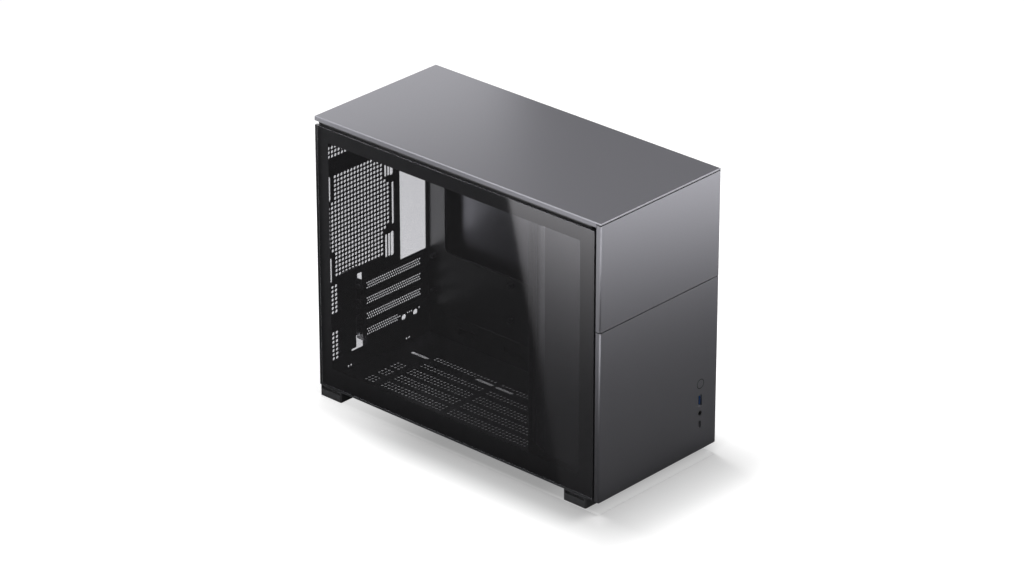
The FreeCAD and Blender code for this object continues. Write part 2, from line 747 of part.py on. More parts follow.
def front_holes():
    """Openings of the lower front cover for the switch and the sockets."""
    gap = button_clearance
    usb_a = rectangle(io_column_x - usb_a_width / 2 - gap, io_column_x + usb_a_width / 2 + gap,
                      usb_a_z - usb_a_height / 2 - gap, usb_a_z + usb_a_height / 2 + gap)
    usb_c = cut_corner_rectangle(io_column_x - usb_c_width / 2 - gap, io_column_x + usb_c_width / 2 + gap,
                                 usb_c_z - usb_c_height / 2 - gap, usb_c_z + usb_c_height / 2 + gap, 1.2)
    return [disc(io_column_x, button_z, button_radius + gap), usb_a, usb_c,
            disc(io_column_x, jack_z, jack_radius + gap)]


def glass_panel():
    """Flat pane of the left side."""
    pane = block(glass_outer, glass_inner, panel_front_d, panel_rear_d, panel_low, panel_high)
    return [pane.makeChamfer(0.4, pane.Edges)]


def glass_rail(height):
    """Steel strip bonded along the pane's inside, with its two studs."""
    strip = block(glass_inner, rail_inner, panel_front_d + 8.0, panel_rear_d - 8.0,
                  height - glass_rail_half, height + glass_rail_half)
    studs = [stud(rail_inner, d, z, glass_reach, plus_x) for d, z in side_spots if abs(z - height) < 1.0]
    return [fused([strip] + studs)]


def right_panel():
    """Steel side with hemmed edges and its four studs."""
    hem = right_inner - panel_hem_depth
    skin = block(right_inner, right_outer, panel_front_d, panel_rear_d, panel_low, panel_high)
    front = block(hem, right_inner, panel_front_d, panel_front_d + steel_sheet, panel_low, panel_high)
    rear = block(hem, right_inner, panel_rear_d - steel_sheet, panel_rear_d, panel_low, panel_high)
    lower = block(hem, right_inner, panel_front_d, panel_rear_d, panel_low, panel_low + steel_sheet)
    upper = block(hem, right_inner, panel_front_d, panel_rear_d, panel_high - steel_sheet, panel_high)
    studs = [stud(right_inner, d, z, right_reach, minus_x) for d, z in side_spots]
    return [fused([skin, front, rear, lower, upper] + studs)]


# Feet
def foot(side, low_d):
    """Corner foot with a groove along its outer side."""
    outer = half_width - foot_inset
    inner = outer - foot_width
    body = block(inner, outer, low_d, low_d + foot_length, pad_thickness, body_underside)
    corners = [edge for edge in body.Edges if edge.BoundBox.ZLength > 5.0]
    body = body.makeChamfer(foot_corner_cut, corners)
    groove = block(outer - foot_groove_depth, outer + 1.0, low_d + foot_groove_end,
                   low_d + foot_length - foot_groove_end, foot_side_height, body_underside - 1.0)
    neck = block(inner + pad_margin, outer - 8.0, low_d + 4.0, low_d + foot_length - 4.0,
                 body_underside, chassis_low)
    body = fused([body.cut(groove), neck])
    if side > 0:
        return [body]
    return [body.mirror(FreeCAD.Vector(0, 0, 0), plus_x)]


def foot_pads():
    """Flat rubber pads under the four feet."""
    pads = []
    outer = half_width - foot_inset - 2.0
    inner = outer - foot_width + 4.0
    for low_d in foot_places:
        for low_x, high_x in ((-outer, -inner), (inner, outer)):
            pads.append(block(low_x, high_x, low_d + 2.0, low_d + foot_length - 2.0, 0.0, pad_thickness))
    return pads


foot_places = [19.8, shell_depth - foot_length]


def bottom_filter():
    """Framed dust screen held against the floor's underside."""
    low_x = floor_fan_x - 51.5
    high_x = floor_fan_x + 78.5
    low_d = floor_fan_front_d - 70.0
    high_d = floor_fan_rear_d + 63.0
    edge = filter_frame_width
    outer = block(low_x, high_x, low_d, high_d, body_underside - filter_screen, chassis_low)
    inner = block(low_x + edge, high_x - edge, low_d + edge, high_d - edge,
                  body_underside - 1.0, chassis_low - filter_screen)
    return [outer.cut(inner)]


# Switch and sockets behind the lower front cover
def io_bracket():
    """Moulded carrier on the back of the front plate, with bosses for the board."""
    low_z = usb_c_z - 14.0
    high_z = button_z + 22.0
    holes = [
        square(io_column_x, button_z, button_stem_radius + 2 * button_clearance),
        rectangle(io_column_x - 3.4, io_column_x + 3.4, usb_a_z - 7.2, usb_a_z + 7.2),
        square(io_column_x, jack_z, jack_radius + button_clearance),
        rectangle(io_column_x - 2.2, io_column_x + 2.2, usb_c_z - 5.2, usb_c_z + 5.2),
    ]
    outline = rectangle(io_column_x - io_margin, io_column_x + io_margin, low_z, high_z)
    plate = sheet("y", bay_front_d, io_bracket_thickness, outline, holes)
    start = bay_front_d + io_bracket_thickness
    bosses = []
    for x in (io_column_x - 8.0, io_column_x + 8.0):
        for z in (low_z + 5.0, high_z - 5.0):
            bosses.append(block(x - 2.5, x + 2.5, start, io_board_d, z - 2.5, z + 2.5))
    return [fused([plate] + bosses)]


def io_board():
    """Circuit board that carries the switch and the sockets."""
    return [block(io_column_x - io_margin, io_column_x + io_margin, io_board_d,
                  io_board_d + io_board_thickness, usb_c_z - 12.0, button_z + 20.0)]


def power_button():
    """Round cap with a collar behind the cover and a stem to the switch."""
    cap = rod(io_column_x, 0.0, button_z, button_radius, button_cap_depth + button_clearance, plus_y)
    collar_d = button_cap_depth + button_clearance
    collar = rod(io_column_x, collar_d, button_z, button_radius + button_collar, 1.0, plus_y)
    stem = hexagon_bar(io_column_x, collar_d, button_z, 2 * button_stem_radius,
                       power_switch_d() - button_travel - 0.2 - collar_d, plus_y)
    cap = cap.makeChamfer(0.3, [edge for edge in cap.Edges if edge.BoundBox.YMax < depth_y(0.01)])
    return [fused([cap, collar, stem])]


def power_switch_d():
    """Depth of the push switch's front."""
    return bay_front_d + io_bracket_thickness + 0.6


def power_switch():
    """Small push switch on the board behind the cap."""
    half = power_switch_half
    return [block(io_column_x - half, io_column_x + half, power_switch_d(), io_board_d,
                  button_z - half, button_z + half)]


def usb_a_shell():
    """Metal shell of the wide socket."""
    half_w = usb_a_width / 2
    half_h = usb_a_height / 2
    body = block(io_column_x - half_w, io_column_x + half_w, socket_front_d, io_board_d,
                 usb_a_z - half_h, usb_a_z + half_h)
    hollow = block(io_column_x - half_w + socket_wall, io_column_x + half_w - socket_wall, socket_front_d,
                   io_board_d - 1.0, usb_a_z - half_h + socket_wall, usb_a_z + half_h - socket_wall)
    return [body.cut(hollow)]


def usb_a_tongue():
    """Insulating tongue inside the wide socket."""
    edge = usb_a_width / 2 - socket_wall
    return [block(io_column_x + edge - 2.4, io_column_x + edge - 0.4, socket_front_d + 0.8, io_board_d - 1.0,
                  usb_a_z - 5.6, usb_a_z + 5.6)]


def usb_c_shell():
    """Obround metal shell of the narrow socket, with its tongue."""
    outer = cut_corner_rectangle(io_column_x - usb_c_width / 2, io_column_x + usb_c_width / 2,
                                 usb_c_z - usb_c_height / 2, usb_c_z + usb_c_height / 2, 1.1)
    wall = socket_wall
    inner = cut_corner_rectangle(io_column_x - usb_c_width / 2 + wall, io_column_x + usb_c_width / 2 - wall,
                                 usb_c_z - usb_c_height / 2 + wall, usb_c_z + usb_c_height / 2 - wall, 0.8)
    ring = sheet("y", socket_front_d, io_board_d - socket_front_d, outer, [inner])
    base = block(io_column_x - 1.4, io_column_x + 1.4, io_board_d - 6.0, io_board_d,
                 usb_c_z - 3.6, usb_c_z + 3.6)
    tongue = block(io_column_x - 0.35, io_column_x + 0.35, socket_front_d + 1.0, io_board_d - 6.0,
                   usb_c_z - 3.2, usb_c_z + 3.2)
    return [fused([ring, base, tongue])]


def audio_jack():
    """Round socket barrel with its bore."""
    start = socket_front_d - jack_lead
    barrel = rod(io_column_x, start, jack_z, jack_radius, io_board_d - start, plus_y)
    return [barrel.cut(rod(io_column_x, start, jack_z, jack_bore_radius, jack_bore_depth, plus_y))]


# Power inlet on the rear wall
def ac_inlet():
    """Recessed three-pin inlet with its two-screw flange."""
    half_w = inlet_opening_width / 2 - 0.3
    half_h = inlet_opening_height / 2 - 0.3
    outer_d = wall_outer_d + inlet_flange_depth
    body = block(inlet_x - half_w, inlet_x + half_w, outer_d - inlet_body_depth, outer_d,
                 inlet_z - half_h, inlet_z + half_h)
    flange = block(inlet_x - inlet_flange_width / 2, inlet_x + inlet_flange_width / 2, wall_outer_d, outer_d,
                   inlet_z - inlet_flange_height / 2, inlet_z + inlet_flange_height / 2)
    body = fused([body, flange])
    cavity = block(inlet_x - 12.0, inlet_x + 12.0, outer_d - inlet_cavity_depth, outer_d, inlet_z - 8.2,
                   inlet_z + 8.2)
    low = [edge for edge in cavity.Edges if edge.BoundBox.YLength > 5 and edge.BoundBox.ZMax < inlet_z]
    return [body.cut(cavity.makeChamfer(4.5, low))]


def inlet_pins():
    """Three flat contact pins inside the inlet."""
    start = wall_outer_d + inlet_flange_depth - inlet_cavity_depth
    places = [(-7.0, -1.5), (0.0, 2.5), (7.0, -1.5)]
    return [block(inlet_x + x - 1.0, inlet_x + x + 1.0, start, start + inlet_pin_length, inlet_z + z - 2.0,
                  inlet_z + z + 2.0) for x, z in places]


def inlet_screws():
    """Two countersunk-style heads that hold the inlet's flange."""
    d = wall_outer_d + inlet_flange_depth
    half = inlet_screw_spacing / 2
    return [hexagon_bar(inlet_x + side * half, d, inlet_z, 5.6, 1.4, plus_y) for side in (-1, 1)]


def cover_studs(spots, reach, kind):
    """The studs of one cover as a group, on the inside of its skin."""
    if kind == "top":
        return [stud(x, d, skin_low, reach, minus_z) for x, d in spots]
    return [stud(x, cover_skin, z, reach, plus_y) for x, z in spots]


os.makedirs("parts", exist_ok=True)

save("floor_pan", floor_pan())
save("top_frame", top_frame())
save("front_plate", front_plate())
save("rear_wall", rear_wall())
save("motherboard_tray", motherboard_tray())
save("chamber_wall", chamber_wall())
save("chamber_plate", chamber_plate())
save("supply_bracket", supply_bracket())
save("drive_bracket_lower", drive_bracket(150.0, 44.0))
save("drive_bracket_upper", drive_bracket(150.0, 180.0))
save("bottom_filter", bottom_filter())
for number in range(slot_count):
    save("slot_cover_" + str(number + 1), slot_cover(number))
save("slot_screws", slot_screws())
save("slot_guard", slot_guard())
save("guard_screws", guard_screws())
save("standoffs", standoffs())

save("top_cover", [fused(top_cover() + cover_studs(top_spots, top_reach, "top"))])
upper_front = front_cover(front_seam_height + cover_seam / 2, front_cover_top, [])
lower_front = front_cover(body_underside, front_seam_height - cover_seam / 2, front_holes())
save("front_cover_upper", [fused([upper_front] + cover_studs(upper_spots, front_reach, "front"))])
save("front_cover_lower", [fused([lower_front] + cover_studs(lower_spots, front_reach, "front"))])
save("glass_panel", glass_panel())
save("glass_rail_top", glass_rail(rail_high_z))
save("glass_rail_bottom", glass_rail(rail_low_z))
save("right_panel", right_panel())

save("glass_catches", [socket(rail_inner, d, z, glass_reach, plus_x) for d, z in side_spots])
save("right_catches", [socket(right_inner, d, z, right_reach, minus_x) for d, z in side_spots])
save("top_catches", [socket(x, d, skin_low, top_reach, minus_z) for x, d in top_spots])
save("front_catches", [socket(x, cover_skin, z, front_reach, plus_y) for x, z in upper_spots + lower_spots])

for side, side_name in ((-1, "left"), (1, "right")):
    save("foot_front_" + side_name, foot(side, foot_places[0]))
    save("foot_rear_" + side_name, foot(side, foot_places[1]))
save("foot_pads", foot_pads())

save("io_bracket", io_bracket())
save("io_board", io_board())
save("power_switch", power_switch())
save("power_button", power_button())
save("usb_a_shell", usb_a_shell())
save("usb_a_tongue", usb_a_tongue())
save("usb_c_shell", usb_c_shell())
save("audio_jack", audio_jack())
save("ac_inlet", ac_inlet())
save("inlet_pins", inlet_pins())
save("inlet_screws", inlet_screws())
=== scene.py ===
# %% [markdown]
# # A mini tower computer case, dressed for the camera
# The case comes as an exact solid model: sheet steel chassis, outer covers, a glass side.
# The solids fix every size and every place. This lesson adds what the eye looks for:
# round perforation, soft edges on folded metal, paint with a grain, a printed glass border,
# and light that shows them.

# %% Load the case
import bpy
import bmesh
import json
import math
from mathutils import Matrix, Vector
from mathutils.geometry import delaunay_2d_cdt


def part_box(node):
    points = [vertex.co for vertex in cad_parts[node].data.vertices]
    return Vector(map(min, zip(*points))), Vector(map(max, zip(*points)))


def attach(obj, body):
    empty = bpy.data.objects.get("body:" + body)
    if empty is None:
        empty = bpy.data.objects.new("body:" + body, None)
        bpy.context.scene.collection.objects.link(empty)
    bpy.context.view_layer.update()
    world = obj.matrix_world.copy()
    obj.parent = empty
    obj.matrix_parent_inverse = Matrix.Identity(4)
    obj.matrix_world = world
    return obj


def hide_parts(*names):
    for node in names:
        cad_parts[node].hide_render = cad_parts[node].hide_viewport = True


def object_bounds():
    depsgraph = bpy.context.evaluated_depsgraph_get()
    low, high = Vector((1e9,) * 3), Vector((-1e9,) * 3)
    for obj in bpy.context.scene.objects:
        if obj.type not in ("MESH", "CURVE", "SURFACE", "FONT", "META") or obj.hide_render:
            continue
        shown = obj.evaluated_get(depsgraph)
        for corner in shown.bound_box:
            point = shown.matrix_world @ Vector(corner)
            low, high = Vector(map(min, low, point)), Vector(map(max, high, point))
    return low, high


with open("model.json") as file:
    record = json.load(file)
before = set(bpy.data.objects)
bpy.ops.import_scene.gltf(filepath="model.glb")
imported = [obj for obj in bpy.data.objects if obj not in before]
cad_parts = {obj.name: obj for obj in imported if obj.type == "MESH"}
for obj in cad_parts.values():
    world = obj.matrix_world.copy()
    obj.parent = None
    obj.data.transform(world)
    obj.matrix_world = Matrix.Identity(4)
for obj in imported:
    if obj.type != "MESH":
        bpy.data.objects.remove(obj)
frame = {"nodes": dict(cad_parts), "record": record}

mm = 0.001
parts = frame["nodes"]
cad_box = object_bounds()
front_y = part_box("front_cover_lower")[0].y
print("pieces loaded:", len(parts))

# %% [markdown]
# Sizes in this lesson are in millimetres and are multiplied by `mm`, because Blender works in metres.
# Distances along the case are counted back from its front face, as a sheet metal worker
# would measure them, so a small helper turns such a depth into a Y coordinate.

# %% Depth behind the front
wall_depth = 438.0


def at_depth(depth):
    return front_y + depth * mm


print("rear wall stands at", round(at_depth(wall_depth), 4))

# %% [markdown]
# ## Finishes
# Powder coat, printed ink, moulded plastic and plated steel look alike at first: a colour and a gloss.
# What tells them apart is small. Powder coat has a grain of fractions of a millimetre, so light breaks up
# on it. Moulded plastic has a softer, larger grain. A finish here starts from one Principled shader,
# and short helpers then add speckle to the colour, change to the gloss, and height to the surface.
# Noise in object coordinates is used for all of it: it needs no unwrapping and has a true size.

# %% Start a finish
def finish(name, colour, roughness, metallic=0.0):
    """A new material with one shader; constant values go straight onto its sockets."""
    made = bpy.data.materials.new(name + "_finish")
    made.use_nodes = True
    surface = made.node_tree.nodes["Principled BSDF"]
    surface.inputs["Base Color"].default_value = (*colour, 1.0)
    surface.inputs["Roughness"].default_value = roughness
    surface.inputs["Metallic"].default_value = metallic
    return made


def shader_of(material):
    return material.node_tree.nodes["Principled BSDF"]


def grain(material, grains_per_mm, detail=2.0, stretch=(1.0, 1.0, 1.0)):
    """Noise in object coordinates, with its grain size given per millimetre."""
    tree = material.node_tree
    place = tree.nodes.new("ShaderNodeTexCoord")
    scale = tree.nodes.new("ShaderNodeMapping")
    scale.inputs["Scale"].default_value = stretch
    noise = tree.nodes.new("ShaderNodeTexNoise")
    noise.inputs["Scale"].default_value = grains_per_mm * 1000
    noise.inputs["Detail"].default_value = detail
    tree.links.new(place.outputs["Object"], scale.inputs["Vector"])
    tree.links.new(scale.outputs["Vector"], noise.inputs["Vector"])
    return noise.outputs["Fac"]


# %% [markdown]
# Colour variation is a blend between two close shades, driven by the noise. The blend is kept narrow:
# paint that is visibly blotchy looks like a mistake.

# %% Speckle, gloss and height
def add_speckle(material, grains_per_mm, dark, light):
    tree = material.node_tree
    ramp = tree.nodes.new("ShaderNodeValToRGB")
    ramp.color_ramp.elements[0].position = 0.35
    ramp.color_ramp.elements[0].color = (*dark, 1.0)
    ramp.color_ramp.elements[1].position = 0.65
    ramp.color_ramp.elements[1].color = (*light, 1.0)
    tree.links.new(grain(material, grains_per_mm, 3.0), ramp.inputs["Fac"])
    tree.links.new(ramp.outputs["Color"], shader_of(material).inputs["Base Color"])


def add_gloss_change(material, grains_per_mm, low, high, stretch=(1.0, 1.0, 1.0)):
    tree = material.node_tree
    span = tree.nodes.new("ShaderNodeMapRange")
    span.inputs["To Min"].default_value = low
    span.inputs["To Max"].default_value = high
    tree.links.new(grain(material, grains_per_mm, 2.0, stretch), span.inputs["Value"])
    tree.links.new(span.outputs["Result"], shader_of(material).inputs["Roughness"])


def add_height(material, grains_per_mm, height_mm, strength=1.0, stretch=(1.0, 1.0, 1.0)):
    tree = material.node_tree
    bump = tree.nodes.new("ShaderNodeBump")
    bump.inputs["Strength"].default_value = strength
    bump.inputs["Distance"].default_value = height_mm * mm
    tree.links.new(grain(material, grains_per_mm, 2.0, stretch), bump.inputs["Height"])
    tree.links.new(bump.outputs["Normal"], shader_of(material).inputs["Normal"])


# %% [markdown]
# Paint is thinner where metal turns a corner, and hands polish it there. The lighter colour along
# edges is partly that wear and partly a painted highlight, for the light that a rounded rim catches.
# The Bevel node gives the normal that a rounded corner would have. Where it differs from the true
# normal, an edge is near, and the colour is blended towards a lighter one.

# %% Lighter paint along edges: wear and painted highlight
def add_edge_wear_and_highlight(material, radius_mm, colour, amount):
    tree = material.node_tree
    shader = shader_of(material)
    rounded = tree.nodes.new("ShaderNodeBevel")
    rounded.samples = 4
    rounded.inputs["Radius"].default_value = radius_mm * mm
    true_normal = tree.nodes.new("ShaderNodeNewGeometry")
    compare = tree.nodes.new("ShaderNodeVectorMath")
    compare.operation = "DOT_PRODUCT"
    tree.links.new(rounded.outputs["Normal"], compare.inputs[0])
    tree.links.new(true_normal.outputs["Normal"], compare.inputs[1])
    edge = tree.nodes.new("ShaderNodeMapRange")
    edge.inputs["From Min"].default_value = 0.99
    edge.inputs["From Max"].default_value = 0.80
    edge.inputs["To Max"].default_value = amount
    tree.links.new(compare.outputs["Value"], edge.inputs["Value"])
    blend = tree.nodes.new("ShaderNodeMix")
    blend.data_type = "RGBA"
    blend.inputs["B"].default_value = (*colour, 1.0)
    before = shader.inputs["Base Color"].links[0].from_socket
    tree.links.new(edge.outputs["Result"], blend.inputs["Factor"])
    tree.links.new(before, blend.inputs["A"])
    tree.links.new(blend.outputs["Result"], shader.inputs["Base Color"])


# %% [markdown]
# The outer covers carry a satin dark grey coat. In the photograph it is lighter where it faces up
# and almost black low on the front: it shows its surroundings more than its own colour. So the shader
# takes most of it as metal, in a mid-dark grey with a soft gloss.

# %% Cover paint
cover_paint = finish("cover_paint", (0.25, 0.248, 0.272), 0.32, 0.75)
add_speckle(cover_paint, 0.8, (0.243, 0.241, 0.264), (0.257, 0.255, 0.280))
add_gloss_change(cover_paint, 0.3, 0.30, 0.34)
add_height(cover_paint, 1.2, 0.003, 0.15)
# The lighter rims are partly wear and partly a painted highlight.
add_edge_wear_and_highlight(cover_paint, 0.6, (0.42, 0.42, 0.44), 0.35)
print("nodes of the cover paint:", len(cover_paint.node_tree.nodes))

# %% [markdown]
# The chassis is coated black. Its grain is finer than that of the covers and its gloss is about the
# same, so the tray and the chamber plate show a soft sheen where they mirror the studio.

# %% Chassis paint
chassis_paint = finish("chassis_paint", (0.041, 0.040, 0.046), 0.33)
shader_of(chassis_paint).inputs["Specular IOR Level"].default_value = 1.0
add_speckle(chassis_paint, 1.0, (0.036, 0.035, 0.041), (0.046, 0.045, 0.051))
add_gloss_change(chassis_paint, 0.5, 0.30, 0.36)
add_height(chassis_paint, 2.2, 0.006, 0.25)
# The lighter rims are partly wear and partly a painted highlight.
add_edge_wear_and_highlight(chassis_paint, 0.5, (0.07, 0.07, 0.075), 0.5)
print("nodes of the chassis paint:", len(chassis_paint.node_tree.nodes))

# %% [markdown]
# Small pieces get finishes of their own: zinc screws with fine scratches, dark plated posts with
# turning lines round them, matt and smooth mouldings, rubber, and the lacquer of the little circuit board.
# Each is the same few calls. The grain suits how the piece is made: the noise is stretched along one
# axis for turned posts and drawn shells.

# %% Metals of the small pieces
screw_steel = finish("screw_steel", (0.5, 0.5, 0.52), 0.3, 1.0)
add_speckle(screw_steel, 1.2, (0.44, 0.44, 0.46), (0.56, 0.56, 0.58))
add_gloss_change(screw_steel, 2.0, 0.24, 0.4)
add_height(screw_steel, 4.0, 0.01, 0.3)

standoff_steel = finish("standoff_steel", (0.16, 0.16, 0.17), 0.35, 0.8)
add_speckle(standoff_steel, 1.0, (0.14, 0.14, 0.15), (0.18, 0.18, 0.19))
add_gloss_change(standoff_steel, 2.5, 0.28, 0.42, (6.0, 1.0, 1.0))
add_height(standoff_steel, 2.0, 0.01, 0.4, (6.0, 0.5, 0.5))

socket_steel = finish("socket_steel", (0.55, 0.55, 0.57), 0.3, 1.0)
add_speckle(socket_steel, 1.5, (0.50, 0.50, 0.52), (0.60, 0.60, 0.62))
add_gloss_change(socket_steel, 1.5, 0.22, 0.36, (1.0, 0.1, 1.0))
add_height(socket_steel, 3.0, 0.006, 0.3)

pin_brass = finish("pin_brass", (0.75, 0.62, 0.35), 0.3, 1.0)
add_speckle(pin_brass, 1.5, (0.68, 0.54, 0.28), (0.78, 0.66, 0.40))
add_gloss_change(pin_brass, 1.5, 0.25, 0.4)
add_height(pin_brass, 3.0, 0.006, 0.3)
print("finishes so far:", len(bpy.data.materials))

# %% [markdown]
# Moulded pieces have an even grain. Catches and feet are matt, and the pads are the dullest of all,
# because rubber scatters nearly all of the light.

# %% Mouldings and rubber
catch_plastic = finish("catch_plastic", (0.03, 0.03, 0.033), 0.6)
add_speckle(catch_plastic, 1.0, (0.026, 0.026, 0.029), (0.036, 0.036, 0.039))
add_gloss_change(catch_plastic, 0.8, 0.55, 0.68)
add_height(catch_plastic, 1.8, 0.02, 0.4)

foot_plastic = finish("foot_plastic", (0.25, 0.25, 0.265), 0.5)
add_speckle(foot_plastic, 1.2, (0.235, 0.235, 0.25), (0.265, 0.265, 0.28))
add_gloss_change(foot_plastic, 0.8, 0.46, 0.58)
add_height(foot_plastic, 2.0, 0.015, 0.35)
# The lighter rims are partly wear and partly a painted highlight.
add_edge_wear_and_highlight(foot_plastic, 0.6, (0.4, 0.4, 0.42), 0.5)

pad_rubber = finish("pad_rubber", (0.03, 0.03, 0.03), 0.85)
add_speckle(pad_rubber, 0.8, (0.024, 0.024, 0.024), (0.04, 0.04, 0.04))
add_gloss_change(pad_rubber, 0.8, 0.8, 0.92)
add_height(pad_rubber, 1.5, 0.03, 0.5)
print("finishes with the mouldings:", len(bpy.data.materials))

# %% [markdown]
# The front sockets are smoother mouldings, and the wide one has a blue tongue. The little board behind
# them is green laminate under lacquer, and the filter under the floor is woven from plain grey thread.

# %% Sockets, board and filter
socket_plastic = finish("socket_plastic", (0.02, 0.02, 0.022), 0.3)
add_speckle(socket_plastic, 0.8, (0.017, 0.017, 0.019), (0.025, 0.025, 0.027))
add_gloss_change(socket_plastic, 0.8, 0.26, 0.38)
add_height(socket_plastic, 2.0, 0.005, 0.3)

tongue_blue = finish("tongue_blue", (0.03, 0.16, 0.55), 0.35)
add_speckle(tongue_blue, 0.8, (0.027, 0.145, 0.50), (0.034, 0.175, 0.60))
add_gloss_change(tongue_blue, 1.0, 0.3, 0.42)
add_height(tongue_blue, 2.0, 0.005, 0.3)

board_laminate = finish("board_laminate", (0.02, 0.05, 0.035), 0.35)
add_speckle(board_laminate, 0.5, (0.016, 0.044, 0.03), (0.026, 0.06, 0.042))
add_gloss_change(board_laminate, 0.5, 0.3, 0.45)
add_height(board_laminate, 0.8, 0.02, 0.4)

filter_mesh = finish("filter_mesh", (0.5, 0.5, 0.51), 0.7)
add_speckle(filter_mesh, 0.6, (0.44, 0.44, 0.45), (0.56, 0.56, 0.57))
add_gloss_change(filter_mesh, 0.8, 0.6, 0.8)
add_height(filter_mesh, 1.0, 0.05, 0.5)

print("finishes:", len(bpy.data.materials))

# %% [markdown]
# Patterns and surroundings need small sums between sockets. These helpers find the node tree from the
# socket that they are given, so a sum reads almost like plain arithmetic.

# %% Sums between sockets
def worked(operation, one, other):
    """A Math node between a socket and a socket or number."""
    tree = (other if isinstance(one, float) else one).id_data
    node = tree.nodes.new("ShaderNodeMath")
    node.operation = operation
    for place, value in ((0, one), (1, other)):
        if isinstance(value, float):
            node.inputs[place].default_value = value
        else:
            tree.links.new(value, node.inputs[place])
    return node.outputs["Value"]


def plus(one, other):
    return worked("ADD", one, other)


def minus(one, other):
    return worked("SUBTRACT", one, other)


def times(one, other):
    return worked("MULTIPLY", one, other)


def size_of(value):
    return worked("ABSOLUTE", value, 0.0)


# %% [markdown]
# The dust filter is a net of thin threads, so the floor below shows through it. A thread is wherever
# the place along either axis, counted in thread spacings, has a small enough fraction left.

# %% Net of the filter
def make_net(material, spacing_mm, thread_share):
    tree = material.node_tree
    place = tree.nodes.new("ShaderNodeTexCoord")
    axes = tree.nodes.new("ShaderNodeSeparateXYZ")
    tree.links.new(place.outputs["Object"], axes.inputs["Vector"])
    threads = []
    for axis in ("X", "Y"):
        left_over = worked("FRACT", worked("DIVIDE", axes.outputs[axis], spacing_mm * mm), 0.0)
        threads.append(worked("LESS_THAN", left_over, thread_share))
    open_net = tree.nodes.new("ShaderNodeBsdfTransparent")
    blend = tree.nodes.new("ShaderNodeMixShader")
    tree.links.new(worked("MAXIMUM", threads[0], threads[1]), blend.inputs["Fac"])
    tree.links.new(open_net.outputs["BSDF"], blend.inputs[1])
    tree.links.new(shader_of(material).outputs["BSDF"], blend.inputs[2])
    tree.links.new(blend.outputs["Shader"], tree.nodes["Material Output"].inputs["Surface"])


make_net(filter_mesh, 0.8, 0.12)
print("nodes of the net:", len(filter_mesh.node_tree.nodes))

# %% [markdown]
# ## Glass
# A pane of glass does two things: it lets light through with a grey tint, and it mirrors a little of
# what stands in front. A full glass shader also bends every ray at both faces. In a flat pane the two
# bends cancel, all but a shift of a millimetre, and they cost a lot of noise behind the pane. So this
# pane is the sum of two plain shaders: a Transparent one with the tint, and a black Principled one
# that has nothing left but its mirror. Both faces of the pane take their share of the light, so the
# tint is the square root of what the whole pane lets through, about four tenths.

# %% Tinted pane
side_glass = finish("side_glass", (0.0, 0.0, 0.0), 0.03)
shader_of(side_glass).inputs["IOR"].default_value = 1.5
shader_of(side_glass).inputs["Specular IOR Level"].default_value = 1.0
shader_of(side_glass).inputs["Specular Tint"].default_value = (0.97, 0.95, 1.0, 1.0)
pane_tree = side_glass.node_tree
see_through = pane_tree.nodes.new("ShaderNodeBsdfTransparent")
see_through.inputs["Color"].default_value = (0.646, 0.646, 0.66, 1.0)
together = pane_tree.nodes.new("ShaderNodeAddShader")
pane_tree.links.new(see_through.outputs["BSDF"], together.inputs[0])
pane_tree.links.new(shader_of(side_glass).outputs["BSDF"], together.inputs[1])
pane_tree.links.new(together.outputs["Shader"], pane_tree.nodes["Material Output"].inputs["Surface"])
add_gloss_change(side_glass, 0.02, 0.02, 0.05)
print("nodes of the pane:", len(pane_tree.nodes))

# %% [markdown]
# The black border is ceramic ink, fired on until it is smooth but not shiny. The edge of the pane is
# ground with a belt and left pale and matt, and its pale colour partly stands for a painted highlight
# along the rim.

# %% Ink and ground edge
border_ink = finish("border_ink", (0.078, 0.078, 0.082), 0.5)
shader_of(border_ink).inputs["Specular IOR Level"].default_value = 0.1
add_speckle(border_ink, 0.4, (0.075, 0.075, 0.079), (0.081, 0.081, 0.085))
add_gloss_change(border_ink, 0.4, 0.3, 0.4)
add_height(border_ink, 0.8, 0.005, 0.1)

# Its pale colour is partly a painted highlight along the glass rim.
ground_edge = finish("ground_edge", (0.30, 0.31, 0.32), 0.5)
add_speckle(ground_edge, 0.6, (0.27, 0.28, 0.29), (0.33, 0.34, 0.35))
add_gloss_change(ground_edge, 0.6, 0.42, 0.58)
add_height(ground_edge, 1.0, 0.01, 0.3)
print("finishes with the pane's:", len(bpy.data.materials))

# %% [markdown]
# ## Give every solid its finish
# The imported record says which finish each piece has, so a table from finish names to materials
# is enough to paint them all.

# %% Paint the solids
finishes = {
    "cover_paint": cover_paint,
    "chassis_paint": chassis_paint,
    "side_glass": side_glass,
    "filter_mesh": filter_mesh,
    "screw_steel": screw_steel,
    "standoff_steel": standoff_steel,
    "catch_plastic": catch_plastic,
    "foot_plastic": foot_plastic,
    "pad_rubber": pad_rubber,
    "board_laminate": board_laminate,
    "socket_plastic": socket_plastic,
    "socket_steel": socket_steel,
    "tongue_blue": tongue_blue,
    "pin_brass": pin_brass,
    "border_ink": border_ink,
    "ground_edge": ground_edge,
}
for entry in frame["record"]["subparts"]:
    for slot in parts[entry["node"]].material_slots:
        slot.material = finishes[entry["material_slot"]]

# %% [markdown]
# ## Soft edges
# No folded or moulded edge is perfectly sharp, and the thin highlight along it is what makes metal
# look solid. The solids arrive as triangles whose corners are not shared, so a Weld modifier joins
# them first, and a Bevel modifier then rounds every edge that turns by more than 40 degrees.

# %% Round the edges
def soften(piece, radius_mm, segments=2):
    weld = piece.modifiers.new("join corners", "WELD")
    weld.merge_threshold = 0.002 * mm
    bevel = piece.modifiers.new("soft edges", "BEVEL")
    bevel.width = radius_mm * mm
    bevel.segments = segments
    bevel.limit_method = "ANGLE"
    bevel.angle_limit = math.radians(40)
    bevel.use_clamp_overlap = True
    bevel.harden_normals = True


